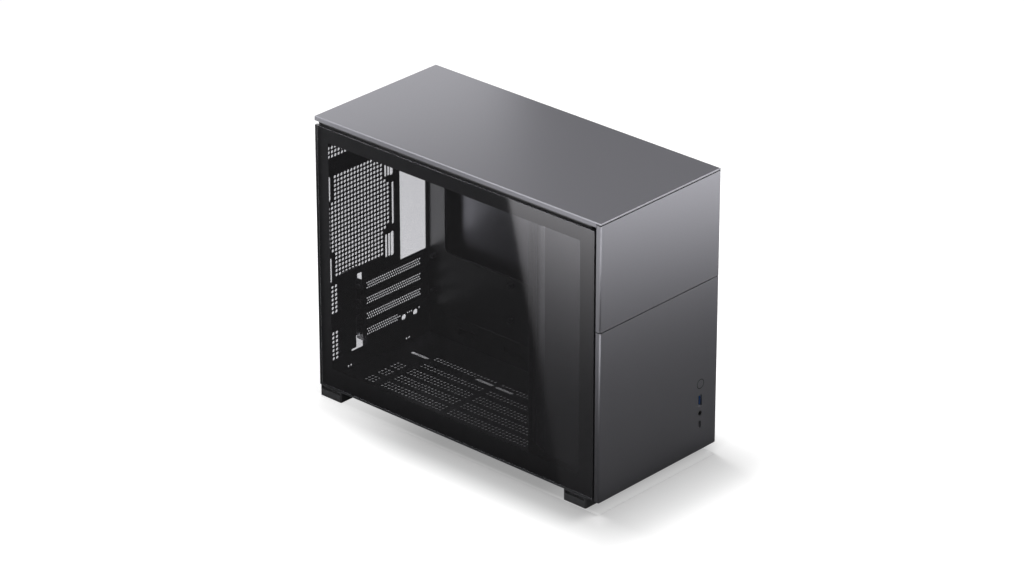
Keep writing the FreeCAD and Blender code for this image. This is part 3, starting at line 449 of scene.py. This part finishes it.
for name in ("top_cover", "front_cover_upper", "front_cover_lower", "right_panel"):
    soften(parts[name], 0.3, 3)
for name in ("foot_front_left", "foot_front_right", "foot_rear_left", "foot_rear_right"):
    soften(parts[name], 0.5, 3)
for name in ("chamber_plate", "chamber_wall", "motherboard_tray", "top_frame", "front_plate", "slot_guard",
             "supply_bracket", "drive_bracket_lower", "drive_bracket_upper", "ac_inlet"):
    soften(parts[name], 0.2)
print("softened solids:", sum(1 for part in parts.values() if part.modifiers))

# %% [markdown]
# ## Perforated sheet
# Ventilated steel is punched with hundreds of round holes. The solid model has long slots in their
# place, to stay light. Here the sheets are made again with every hole round. A flat sheet with many
# holes is a triangulation problem: `delaunay_2d_cdt` joins all the outline and hole points into
# triangles that respect each hole's rim. Triangles whose middle lies in a hole are thrown away, and
# what is left is extruded to the sheet's thickness.

# %% Outlines of holes
def round_hole(u, v, diameter, sides=14):
    turns = [2 * math.pi * number / sides for number in range(sides)]
    return [(u + diameter / 2 * math.cos(turn), v + diameter / 2 * math.sin(turn)) for turn in turns]


def slot_hole(u_low, u_high, v_low, v_high, radius, steps=6):
    """A rectangle with round corners; a large radius makes it an obround slot."""
    radius = min(radius, (u_high - u_low) / 2 - 0.001, (v_high - v_low) / 2 - 0.001)
    centres = [(u_high - radius, v_high - radius), (u_low + radius, v_high - radius),
               (u_low + radius, v_low + radius), (u_high - radius, v_low + radius)]
    points = []
    for quarter, (u, v) in enumerate(centres):
        for step in range(steps + 1):
            turn = math.pi / 2 * (quarter + step / steps)
            points.append((u + radius * math.cos(turn), v + radius * math.sin(turn)))
    return points


def box_of(loop):
    us = [u for u, v in loop]
    vs = [v for u, v in loop]
    return min(us), max(us), min(vs), max(vs)


def clear_of(loop, others, gap):
    """Whether a hole stays a gap away from every one of the others, box against box."""
    low_u, high_u, low_v, high_v = box_of(loop)
    for other in others:
        u0, u1, v0, v1 = box_of(other)
        if low_u < u1 + gap and high_u > u0 - gap and low_v < v1 + gap and high_v > v0 - gap:
            return False
    return True


# %% [markdown]
# To know which triangles to drop, each hole's rim is numbered. A triangle lies inside a hole exactly
# when all three of its corners belong to the same rim, because the plain sheet always touches
# something else as well.

# %% Punch a sheet
def thicken(sheet, faces, offset):
    """Turns flat faces into a solid sheet, by extruding them to an offset."""
    grown = bmesh.ops.extrude_face_region(sheet, geom=faces, use_keep_orig=True)
    moved = [item for item in grown["geom"] if isinstance(item, bmesh.types.BMVert)]
    bmesh.ops.translate(sheet, verts=moved, vec=offset)
    bmesh.ops.recalc_face_normals(sheet, faces=sheet.faces[:])


def punched_sheet(outline, holes, place, thickness, along):
    """A mesh of a flat sheet: place turns (u, v) into a point, along is its thickness direction."""
    points = []
    rims = []
    edges = []
    for number, loop in enumerate([outline] + holes):
        first = len(points)
        points += [Vector(corner) for corner in loop]
        rims += [number] * len(loop)
        edges += [(first + i, first + (i + 1) % len(loop)) for i in range(len(loop))]
    flat, _, triangles, sources, _, _ = delaunay_2d_cdt(points, edges, [], 0, 1e-5)
    owner = [rims[source[0]] if source else -1 for source in sources]
    sheet = bmesh.new()
    corners = [sheet.verts.new(place(u, v)) for u, v in flat]
    for triangle in triangles:
        owners = {owner[corner] for corner in triangle}
        inside_hole = len(owners) == 1 and owners != {0} and owners != {-1}
        if not inside_hole:
            sheet.faces.new([corners[corner] for corner in triangle])
    thicken(sheet, sheet.faces[:], along * thickness * mm)
    return sheet


# %% [markdown]
# Folded walls are plain blocks in the same mesh. Every new piece rides on the body that it is fixed
# to, so it moves with it, and it names the finish that it wears.

# %% Blocks and new pieces
def add_block(sheet, low, high):
    """A folded-on wall: a plain block in the same mesh, between two corners in metres."""
    made = bmesh.ops.create_cube(sheet, size=1.0)["verts"]
    for vert in made:
        for axis in range(3):
            vert.co[axis] = (low[axis] if vert.co[axis] < 0 else high[axis])


def new_piece(name, mesh_work, finish_name, body="chassis"):
    mesh = bpy.data.meshes.new(name)
    mesh_work.to_mesh(mesh)
    mesh_work.free()
    piece = bpy.data.objects.new(name, mesh)
    bpy.context.scene.collection.objects.link(piece)
    mesh.materials.append(finishes[finish_name])
    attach(piece, body)
    return piece


# %% [markdown]
# ## Rear wall
# The rear wall carries the fan grille, four fan screw slots with narrow slots beside them, three rows
# of vents above, a strip of vents at the left, the opening for the connectors, the opening for the
# power inlet, the window in front of the slot tabs and the openings behind the slot covers. The
# large cuts come first, because the small holes have to stay clear of them.

# %% Large cuts of the rear wall
fan_x = -30.0
fan_z = 209.6
fan_half = 52.5
tab_x = -29.7
slot_middles = [117.5 - 20.32 * number for number in range(4)]


def fan_screw_slots(middle_u, middle_v, length):
    slots = []
    for u in (middle_u - fan_half, middle_u + fan_half):
        for v in (middle_v - fan_half, middle_v + fan_half):
            slots.append(slot_hole(u - 2.75, u + 2.75, v - length / 2, v + length / 2, 2.75))
    return slots


rear_large = fan_screw_slots(fan_x, fan_z, 32.0)
rear_large.append(slot_hole(36.05, 80.5, 130.25, 289.0, 0.8, 2))
rear_large.append(slot_hole(22.5, 26.0, 182.0, 237.0, 1.7))
for x in (10.5, 15.6):
    for middle in (fan_z - fan_half, fan_z + fan_half):
        rear_large.append(slot_hole(x, x + 3.6, middle - 15.0, middle + 15.0, 1.0, 2))
tab_window = [(tab_x, 39.5), (tab_x, 138.0), (-41.2, 138.0), (-41.2, 42.5), (-49.2, 42.5), (-49.2, 39.5)]
rear_large.append(tab_window)
rear_large.append(slot_hole(38.5, 65.5, 316.2, 335.8, 1.0, 2))
for middle in slot_middles:
    rear_large.append(slot_hole(-26.7, 73.3, middle - 7.5, middle + 7.5, 1.0, 2))
for x in (-52.5, 47.5):
    rear_large.append(round_hole(x - 2.2, 22.0, 3.0))
    rear_large.append(round_hole(x + 2.2, 22.0, 3.0))
print("large cuts in the rear wall:", len(rear_large))

# %% [markdown]
# The grille is a field of round holes of about 4 mm every 5.5 mm, wider in the middle rows than at
# the ends. A hole is punched only where it stays clear of every large cut.

# %% Vents of the rear wall
pitch = 5.5
hole = 4.2
rear_small = []
for row in range(24):
    z = 148.75 + row * pitch
    middle_rows = 7 <= row <= 16
    next_rows = row in (6, 17)
    first = 0 if middle_rows else (1 if next_rows else 2)
    last = 18 if middle_rows else (17 if next_rows else 16)
    for column in range(first, last + 1):
        rear_small.append(round_hole(-83.0 + column * pitch, z, hole))
for row in range(3):
    for column in range(19):
        rear_small.append(round_hole(-81.5 + column * pitch, 303.0 + row * pitch, hole))
for column, x in enumerate((-85.25, -79.4, -73.5)):
    heights = [40.75 + row * pitch for row in range(7)] + [101.75 + row * pitch for row in range(7)]
    heights += [79.5, 85.0] if column == 0 else []
    rear_small += [round_hole(x, z, hole) for z in heights]
rear_small = [loop for loop in rear_small if clear_of(loop, rear_large, 0.8)]
print("round holes in the rear wall:", len(rear_small))

# %% [markdown]
# The wall is punched in one go. Three plain blocks are added to it: the folds at both sides, and the
# ledge outside that the tabs of the slot covers are screwed to.

# %% Rear wall
steel = 1.0
fold = 12.0
tab_end = 447.4
wall_low, wall_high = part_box("rear_wall")
left = wall_low.x / mm
right = wall_high.x / mm
bottom = wall_low.z / mm
top = wall_high.z / mm
wall = punched_sheet([(left, bottom), (right, bottom), (right, top), (left, top)], rear_large + rear_small,
                     lambda x, z: Vector((x * mm, at_depth(wall_depth), z * mm)), steel, Vector((0, 1, 0)))
for x0, x1 in ((left, left + steel), (right - steel, right)):
    add_block(wall, (x0 * mm, at_depth(wall_depth - fold), 31.0 * mm),
              (x1 * mm, at_depth(wall_depth), 342.0 * mm))
add_block(wall, (tab_x * mm, at_depth(wall_depth + steel), 47.34 * mm),
          (-28.7 * mm, at_depth(tab_end), 126.7 * mm))
rear_wall = new_piece("rear_wall_punched", wall, "chassis_paint")
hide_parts("rear_wall")
print("rear wall faces:", len(rear_wall.data.polygons))

# %% [markdown]
# ## Floor
# Two fans can blow up through the floor. Each field is a set of lengthwise rows of round holes, and
# the plain steel left between the rows stiffens the sheet like fingers.

# %% Floor
floor_hole = 3.8
floor_fan_x = -22.5
floor_slots = fan_screw_slots(floor_fan_x, 349.0, 28.0) + fan_screw_slots(floor_fan_x, 212.0, 28.0)
floor_small = []
for x in (38.5, 33.5, 16.2, 10.5, -2.0, -7.5, -13.0, -23.5, -29.0, -34.5, -46.0, -51.5, -57.0, -67.0):
    depths = [287.0 + row * pitch for row in range(18)] + [274.0 - row * pitch for row in range(23)]
    if x < 4 and x > -60:
        depths += [396.0, 401.5, 407.0]
    floor_small += [round_hole(x, depth, floor_hole) for depth in depths]
floor_small = [loop for loop in floor_small if clear_of(loop, floor_slots, 0.8)]
floor_low, floor_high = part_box("floor_pan")
near_end = (floor_low.y - front_y) / mm
far_end = (floor_high.y - front_y) / mm
pan = punched_sheet([(left, near_end), (right, near_end), (right, far_end), (left, far_end)],
                    floor_slots + floor_small,
                    lambda x, depth: Vector((x * mm, at_depth(depth), floor_low.z)), steel, Vector((0, 0, 1)))
for x0, x1 in ((left, left + steel), (right - steel, right)):
    add_block(pan, (x0 * mm, floor_low.y, floor_low.z + steel * mm), (x1 * mm, floor_high.y, floor_high.z))
floor_pan = new_piece("floor_pan_punched", pan, "chassis_paint")
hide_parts("floor_pan")
print("floor faces:", len(floor_pan.data.polygons))

# %% [markdown]
# ## Slot covers
# Four blanking plates close the card slots. Each has three staggered rows of small round vents, and
# the lowest gives up some of them for two tube holes.

# %% Holes of a slot cover
vent_hole = 2.4
tube_hole = 7.5


def cover_holes(middle, with_tubes):
    tubes = [round_hole(x, middle - 3.8, tube_hole, 20) for x in (40.0, 60.0)] if with_tubes else []
    vents = []
    for row in (-1, 0, 1):
        shift = 1.7 if row == 0 else 0.0
        for column in range(28):
            x = -22.0 + shift + column * 3.35
            if with_tubes and x > 30.0 and row != 0:
                continue
            vent = round_hole(x, middle + row * 3.3, vent_hole, 10)
            if x < 69.0 and clear_of(vent, tubes, 0.6):
                vents.append(vent)
    return tubes + vents


print("holes per cover:", [len(cover_holes(slot_middles[number], number == 3)) for number in range(4)])

# %% [markdown]
# At one end the plate is bent outwards into a tab, notched for its screw. The tab is one more flat
# outline, thickened sideways in the same mesh. One function makes all four covers.

# %% Slot covers
half_cover = 9.2
half_notch = 1.8
cover_steel = 0.8
cover_depth = 437.2
notch_end = 441.4


def slot_cover(number):
    middle = slot_middles[number]
    low_z = middle - half_cover
    high_z = middle + half_cover
    plate = punched_sheet([(tab_x, low_z), (77.3, low_z), (77.3, high_z), (tab_x, high_z)],
                          cover_holes(middle, number == 3),
                          lambda x, z: Vector((x * mm, at_depth(cover_depth), z * mm)), cover_steel,
                          Vector((0, 1, 0)))
    outline = [(cover_depth, low_z), (tab_end, low_z), (tab_end, middle - half_notch),
               (notch_end, middle - half_notch), (notch_end, middle + half_notch),
               (tab_end, middle + half_notch), (tab_end, high_z), (cover_depth, high_z)]
    tab = plate.faces.new([plate.verts.new(Vector((-30.5 * mm, at_depth(d), z * mm))) for d, z in outline])
    thicken(plate, [tab], Vector((cover_steel * mm, 0, 0)))
    piece = new_piece("slot_cover_vented_" + str(number + 1), plate, "chassis_paint")
    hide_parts("slot_cover_" + str(number + 1))
    return piece


covers = [slot_cover(number) for number in range(4)]
print("slot cover faces:", [len(cover.data.polygons) for cover in covers])

# %% [markdown]
# ## Printed border
# The black frame round the glass is ink on the inner side of the pane. It hides the rails and the
# chassis edge. It is made as a real sheet a tenth of a millimetre thick just inside the pane's inner
# face. Its window is one more hole for the function that punched the vents.

# %% Border sheet
glass_low, glass_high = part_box("glass_panel")
inset = 0.15
frame_low = ((glass_low.y - front_y) / mm + inset, glass_low.z / mm + inset)
frame_high = ((glass_high.y - front_y) / mm - inset, glass_high.z / mm - inset)
window = slot_hole(34.0, 423.0, 39.7, 331.0, 2.0, 4)
ink_x = glass_high.x - 0.14 * mm
border = punched_sheet([frame_low, (frame_high[0], frame_low[1]), frame_high, (frame_low[0], frame_high[1])],
                       [window], lambda depth, z: Vector((ink_x, at_depth(depth), z * mm)),
                       0.1, Vector((1, 0, 0)))
glass_border = new_piece("glass_border", border, "border_ink", "glass_side")

# %% [markdown]
# The ground edge of the pane shows as a thin pale line, partly its own pale colour and partly a
# painted highlight. Four thin walls stand for it, just inside the pane's rim, so the pane itself keeps
# its mesh.

# %% Ground edge of the pane
rim = bmesh.new()
edge_low = (glass_low.x + 0.1 * mm, glass_low.y + 0.05 * mm, glass_low.z + 0.05 * mm)
edge_high = (glass_high.x - 0.2 * mm, glass_high.y - 0.05 * mm, glass_high.z - 0.05 * mm)
thin = 0.08 * mm
for low, high in (
        (edge_low, (edge_high[0], edge_low[1] + thin, edge_high[2])),
        ((edge_low[0], edge_high[1] - thin, edge_low[2]), edge_high),
        (edge_low, (edge_high[0], edge_high[1], edge_low[2] + thin)),
        ((edge_low[0], edge_low[1], edge_high[2] - thin), edge_high)):
    add_block(rim, low, high)
glass_rim = new_piece("glass_rim", rim, "ground_edge", "glass_side")
print("border and rim of the pane:", len(glass_border.data.polygons), len(glass_rim.data.polygons))

# %% [markdown]
# ## Ring on the power button
# A button as dark as its cover would be hard to find, so its rim carries a thin ring of black ink.
# The ring moves with the button, because it rides on the same body.

# %% Button ring
button_low, button_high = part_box("power_button")
button_x = (button_low.x + button_high.x) / 2 / mm
button_z = (button_low.z + button_high.z) / 2 / mm
ring_outer = (button_high.x - button_low.x) / mm - 1.6
ring_inner = ring_outer - 1.8
ring = punched_sheet(round_hole(button_x, button_z, ring_outer, 40),
                     [round_hole(button_x, button_z, ring_inner, 40)],
                     lambda x, z: Vector((x * mm, button_low.y - 0.02 * mm, z * mm)), 0.06, Vector((0, 1, 0)))
button_ring = new_piece("button_ring", ring, "socket_plastic", "button")
print("ring across:", round(ring_outer, 2), "mm")

# %% [markdown]
# ## Camera
# The photograph was taken from far away with a long lens, so parallel edges hardly run together.

# %% Camera
lens = bpy.data.cameras.new("studio_camera")
lens.lens = 160.97
lens.sensor_width = 36.0
lens.clip_end = 50.0
camera = bpy.data.objects.new("studio_camera", lens)
bpy.context.scene.collection.objects.link(camera)
camera.location = (-3.51478, -3.20980, 2.48431)
aim = Vector((-0.006908, -0.006399, 0.180)) - camera.location
camera.rotation_euler = aim.to_track_quat("-Z", "Y").to_euler()
bpy.context.scene.camera = camera
print("distance of the camera:", round(aim.length, 2), "m")

# %% [markdown]
# ## Surroundings
# The picture has a white background, yet the case stands in dark surroundings: its covers fade to
# near black at the bottom, where they mirror the floor close by. So the camera and the mirrors look
# at different studios. The Light Path node tells which kind of ray asks, and the answers are blended
# by that.

# %% Blends and ramps
def blended(share, low, high):
    tree = share.id_data
    node = tree.nodes.new("ShaderNodeMix")
    tree.links.new(share, node.inputs["Factor"])
    for name, value in (("A", low), ("B", high)):
        if isinstance(value, float):
            node.inputs[name].default_value = value
        else:
            tree.links.new(value, node.inputs[name])
    return node.outputs["Result"]


def ramp_between(value, low, high, most=1.0):
    """Rises smoothly from 0 to the most while the value goes from low to high."""
    tree = value.id_data
    ramp = tree.nodes.new("ShaderNodeMapRange")
    ramp.interpolation_type = "SMOOTHSTEP"
    ramp.inputs["From Min"].default_value = low
    ramp.inputs["From Max"].default_value = high
    ramp.inputs["To Max"].default_value = most
    tree.links.new(value, ramp.inputs["Value"])
    return ramp.outputs["Result"]


def kinds_of_ray(tree):
    """Two sockets: 1 for the camera's rays, and 1 for mirror rays that no matt surface sent on."""
    ray = tree.nodes.new("ShaderNodeLightPath")
    for_camera = worked("MAXIMUM", ray.outputs["Is Camera Ray"], ray.outputs["Is Transmission Ray"])
    not_scattered = worked("LESS_THAN", ray.outputs["Diffuse Depth"], 0.5)
    return for_camera, times(ray.outputs["Is Glossy Ray"], not_scattered)


# %% [markdown]
# The world is white to the camera and a weak grey to everything else. Two round soft boxes in it are
# there for mirrors only: they give the thin light lines along the rims of the top. Low behind the case
# hangs a bright backdrop, which lights the inside through the rear openings.

# %% World
world = bpy.data.worlds.new("studio")
bpy.context.scene.world = world
world.use_nodes = True
sky_tree = world.node_tree
sky = sky_tree.nodes["Background"]
sky.inputs["Color"].default_value = (1.0, 1.0, 1.0, 1.0)
sky_view = sky_tree.nodes.new("ShaderNodeTexCoord")
sky_axes = sky_tree.nodes.new("ShaderNodeSeparateXYZ")
sky_tree.links.new(sky_view.outputs["Generated"], sky_axes.inputs["Vector"])
box_width = 24.0
box_strength = 2.5
plain_sky = 0.12
mirrored_sky = 0.08
backdrop_strength = 1.1


def softbox(direction):
    """A bright round patch of sky, centred on a direction."""
    nearness = sky_tree.nodes.new("ShaderNodeVectorMath")
    nearness.operation = "DOT_PRODUCT"
    nearness.inputs[1].default_value = Vector(direction).normalized()
    sky_tree.links.new(sky_view.outputs["Generated"], nearness.inputs[0])
    return ramp_between(nearness.outputs["Value"], math.cos(math.radians(box_width)),
                        math.cos(math.radians(box_width / 2)), box_strength)


for_camera, for_mirror = kinds_of_ray(sky_tree)
boxes = plus(softbox((-0.437, 0.607, 0.665)), softbox((0.665, -0.437, 0.607)))
sky_light = blended(for_mirror, plain_sky, plus(boxes, mirrored_sky))
behind = ramp_between(sky_axes.outputs["Y"], 0.15, 0.4)
low_down = ramp_between(sky_axes.outputs["Z"], 0.14, 0.04)
backdrop = times(times(behind, low_down), backdrop_strength)
sky_tree.links.new(blended(for_camera, plus(sky_light, backdrop), 1.0), sky.inputs["Strength"])
print("nodes of the world:", len(sky_tree.nodes))

# %% [markdown]
# ## Floor of the studio
# The floor is white to the camera. The soft shadow on it comes partly from the lamp above and
# partly from painted shade, since its glow to the camera is shaped round the case. To all other
# rays it is dark, or it would light the lower half of the front. Everything else about it depends on
# where a point of it lies: how far before the front, beside the glass, or outside the footprint.

# %% Places on the floor
half_width = cad_box[1].x
ground_paint = finish("studio_floor", (0.85, 0.85, 0.85), 0.9)
ground_shader = shader_of(ground_paint)
ground_shader.inputs["Specular IOR Level"].default_value = 0.0
ground_tree = ground_paint.node_tree
ground_seen, ground_mirrored = kinds_of_ray(ground_tree)
ground_tree.links.new(blended(ground_seen, 0.06, 0.56), ground_shader.inputs["Base Color"])
ground_place = ground_tree.nodes.new("ShaderNodeTexCoord")
ground_axes = ground_tree.nodes.new("ShaderNodeSeparateXYZ")
ground_tree.links.new(ground_place.outputs["Object"], ground_axes.inputs["Vector"])
along_x = ground_axes.outputs["X"]
along_y = ground_axes.outputs["Y"]
from_glass = minus(times(along_x, -1.0), half_width)
from_right = minus(along_x, half_width)
from_front = minus(times(along_y, -1.0), -front_y)
before_front = ramp_between(from_front, 0.0, 0.05)
print("half width of the case:", round(half_width, 4))

# %% [markdown]
# In a mirror the floor shows pale cards, a glow painted into its emission that only mirror rays see,
# and their brightness grows away from the case. One lies before the front, a little turned, so the
# right side of the front is lighter. One lies at the right side. One lies at the glass side and ends
# at a slanted line, which is the sharp wedge seen in the glass.

# %% Cards for the mirrors
def rising(distance, at_half_metre, most):
    """Brightness of a card: it grows steeply with the distance, up to a limit."""
    steep = worked("POWER", worked("MAXIMUM", distance, 0.0), 3.6)
    return worked("MINIMUM", times(steep, at_half_metre / 0.5 ** 3.6), most)


beside_line = minus(times(along_x, -1.062), along_y)
ahead_of_line = ramp_between(beside_line, 0.274, 0.284)
side_card = times(rising(from_glass, 1.0, 2.0), ahead_of_line)
turned = times(minus(along_x, 0.54), 0.55)
front_card = times(rising(plus(from_front, turned), 1.25, 2.6), before_front)
right_card = times(rising(from_right, 0.7, 1.6), minus(1.0, before_front))
near_light = times(worked("MAXIMUM", before_front, times(ahead_of_line, 0.5)), 0.11)
cards = plus(plus(side_card, front_card), plus(right_card, near_light))
print("nodes with the cards:", len(ground_tree.nodes))

# %% [markdown]
# Behind the case the floor is white to all rays but the camera's, in the part that neither the glass
# nor the right panel mirrors. Through the rear openings it lights the inside of the case. To the
# camera the floor glows a little by itself, and this glow paints the fall-off of the shadow: more glow
# outside the shadow, and more in the narrow strips along the case and under it, where the lamp alone
# would leave too dark an edge.

# %% Glow of the floor
behind_line = plus(along_y, times(along_x, 0.915))
white_behind = times(ramp_between(behind_line, 0.16, 0.20), ramp_between(along_y, 0.22, 0.24))
white_behind = times(white_behind, ramp_between(along_x, 0.09, 0.07))
case_middle = -0.005
past_end = minus(size_of(minus(along_y, case_middle)), case_middle - front_y)
past_case = worked("MAXIMUM", minus(size_of(along_x), half_width), past_end)
far_glow = ramp_between(past_case, 0.0, 0.12, 0.36)
under_glow = times(ramp_between(past_case, 0.0, -0.0025),
                   plus(ramp_between(along_y, -0.12, -0.20, 0.11), 0.12))
rear_glow = times(ramp_between(along_y, 0.02, 0.22, 0.45), ramp_between(past_case, 0.12, 0.0))
front_glow = times(ramp_between(along_y, -0.205, -0.225, 0.12), ramp_between(past_case, 0.06, 0.0))
left_glow = times(ramp_between(along_x, -0.095, -0.102, 0.12), ramp_between(past_case, 0.025, 0.0))
strips = plus(plus(under_glow, rear_glow), plus(front_glow, left_glow))
# The floor's glow to the camera paints light into the shadow round the case.
camera_glow_shaping_shadow = times(plus(plus(far_glow, strips), 0.18), ground_seen)
for_rest = times(white_behind, times(minus(1.0, ground_seen), 2.2))
ground_glow = plus(times(cards, ground_mirrored), plus(camera_glow_shaping_shadow, for_rest))
ground_tree.links.new(ground_glow, ground_shader.inputs["Emission Strength"])
ground_shader.inputs["Emission Color"].default_value = (1.0, 1.0, 1.0, 1.0)
print("nodes of the floor:", len(ground_tree.nodes))

# %% [markdown]
# The floor itself is one large square just below the feet. It belongs to the studio and not to the
# case.

# %% Floor sheet
ground_mesh = bpy.data.meshes.new("studio_floor")
reach = 12.0
ground_mesh.from_pydata([(-reach, -reach, 0), (reach, -reach, 0), (reach, reach, 0), (-reach, reach, 0)], [],
                        [(0, 1, 2, 3)])
ground_mesh.materials.append(ground_paint)
ground = bpy.data.objects.new("studio_floor", ground_mesh)
ground.location.z = cad_box[0].z - 0.0002
bpy.context.scene.collection.objects.link(ground)
print("floor lies at", round(ground.location.z * 1000, 2), "mm")

# %% [markdown]
# ## Lamps
# An oblong lamp hangs almost straight above. It lights the floor evenly, and its size sets how soft
# the shadow at the foot of the case is. A second, low lamp stands behind the case, a little to the
# right. The top mirrors it, strongest at the rear edge, and that is the fade seen along the top.

# %% Lamps
def lamp(name, place, target, width, length, watts):
    data = bpy.data.lights.new(name, "AREA")
    data.shape = "RECTANGLE"
    data.size = width
    data.size_y = length
    data.energy = watts
    light = bpy.data.objects.new(name, data)
    light.location = place
    light.rotation_euler = (Vector(target) - Vector(place)).to_track_quat("-Z", "Y").to_euler()
    bpy.context.scene.collection.objects.link(light)
    print(name, "is", round(light.location.z, 2), "m above the floor")


lamp("overhead_lamp", (0.07, 0.0, 2.6), (0.07, 0.0, 0.0), 0.42, 0.95, 84.0)
lamp("rear_lamp", (0.15, 0.60, 0.54), (0.0, 0.15, 0.36), 0.78, 0.23, 0.6)

# %% [markdown]
# ## View settings
# The plain Standard view shows a colour about as it is written.

# %% Finish
bpy.context.scene.view_settings.view_transform = "Standard"
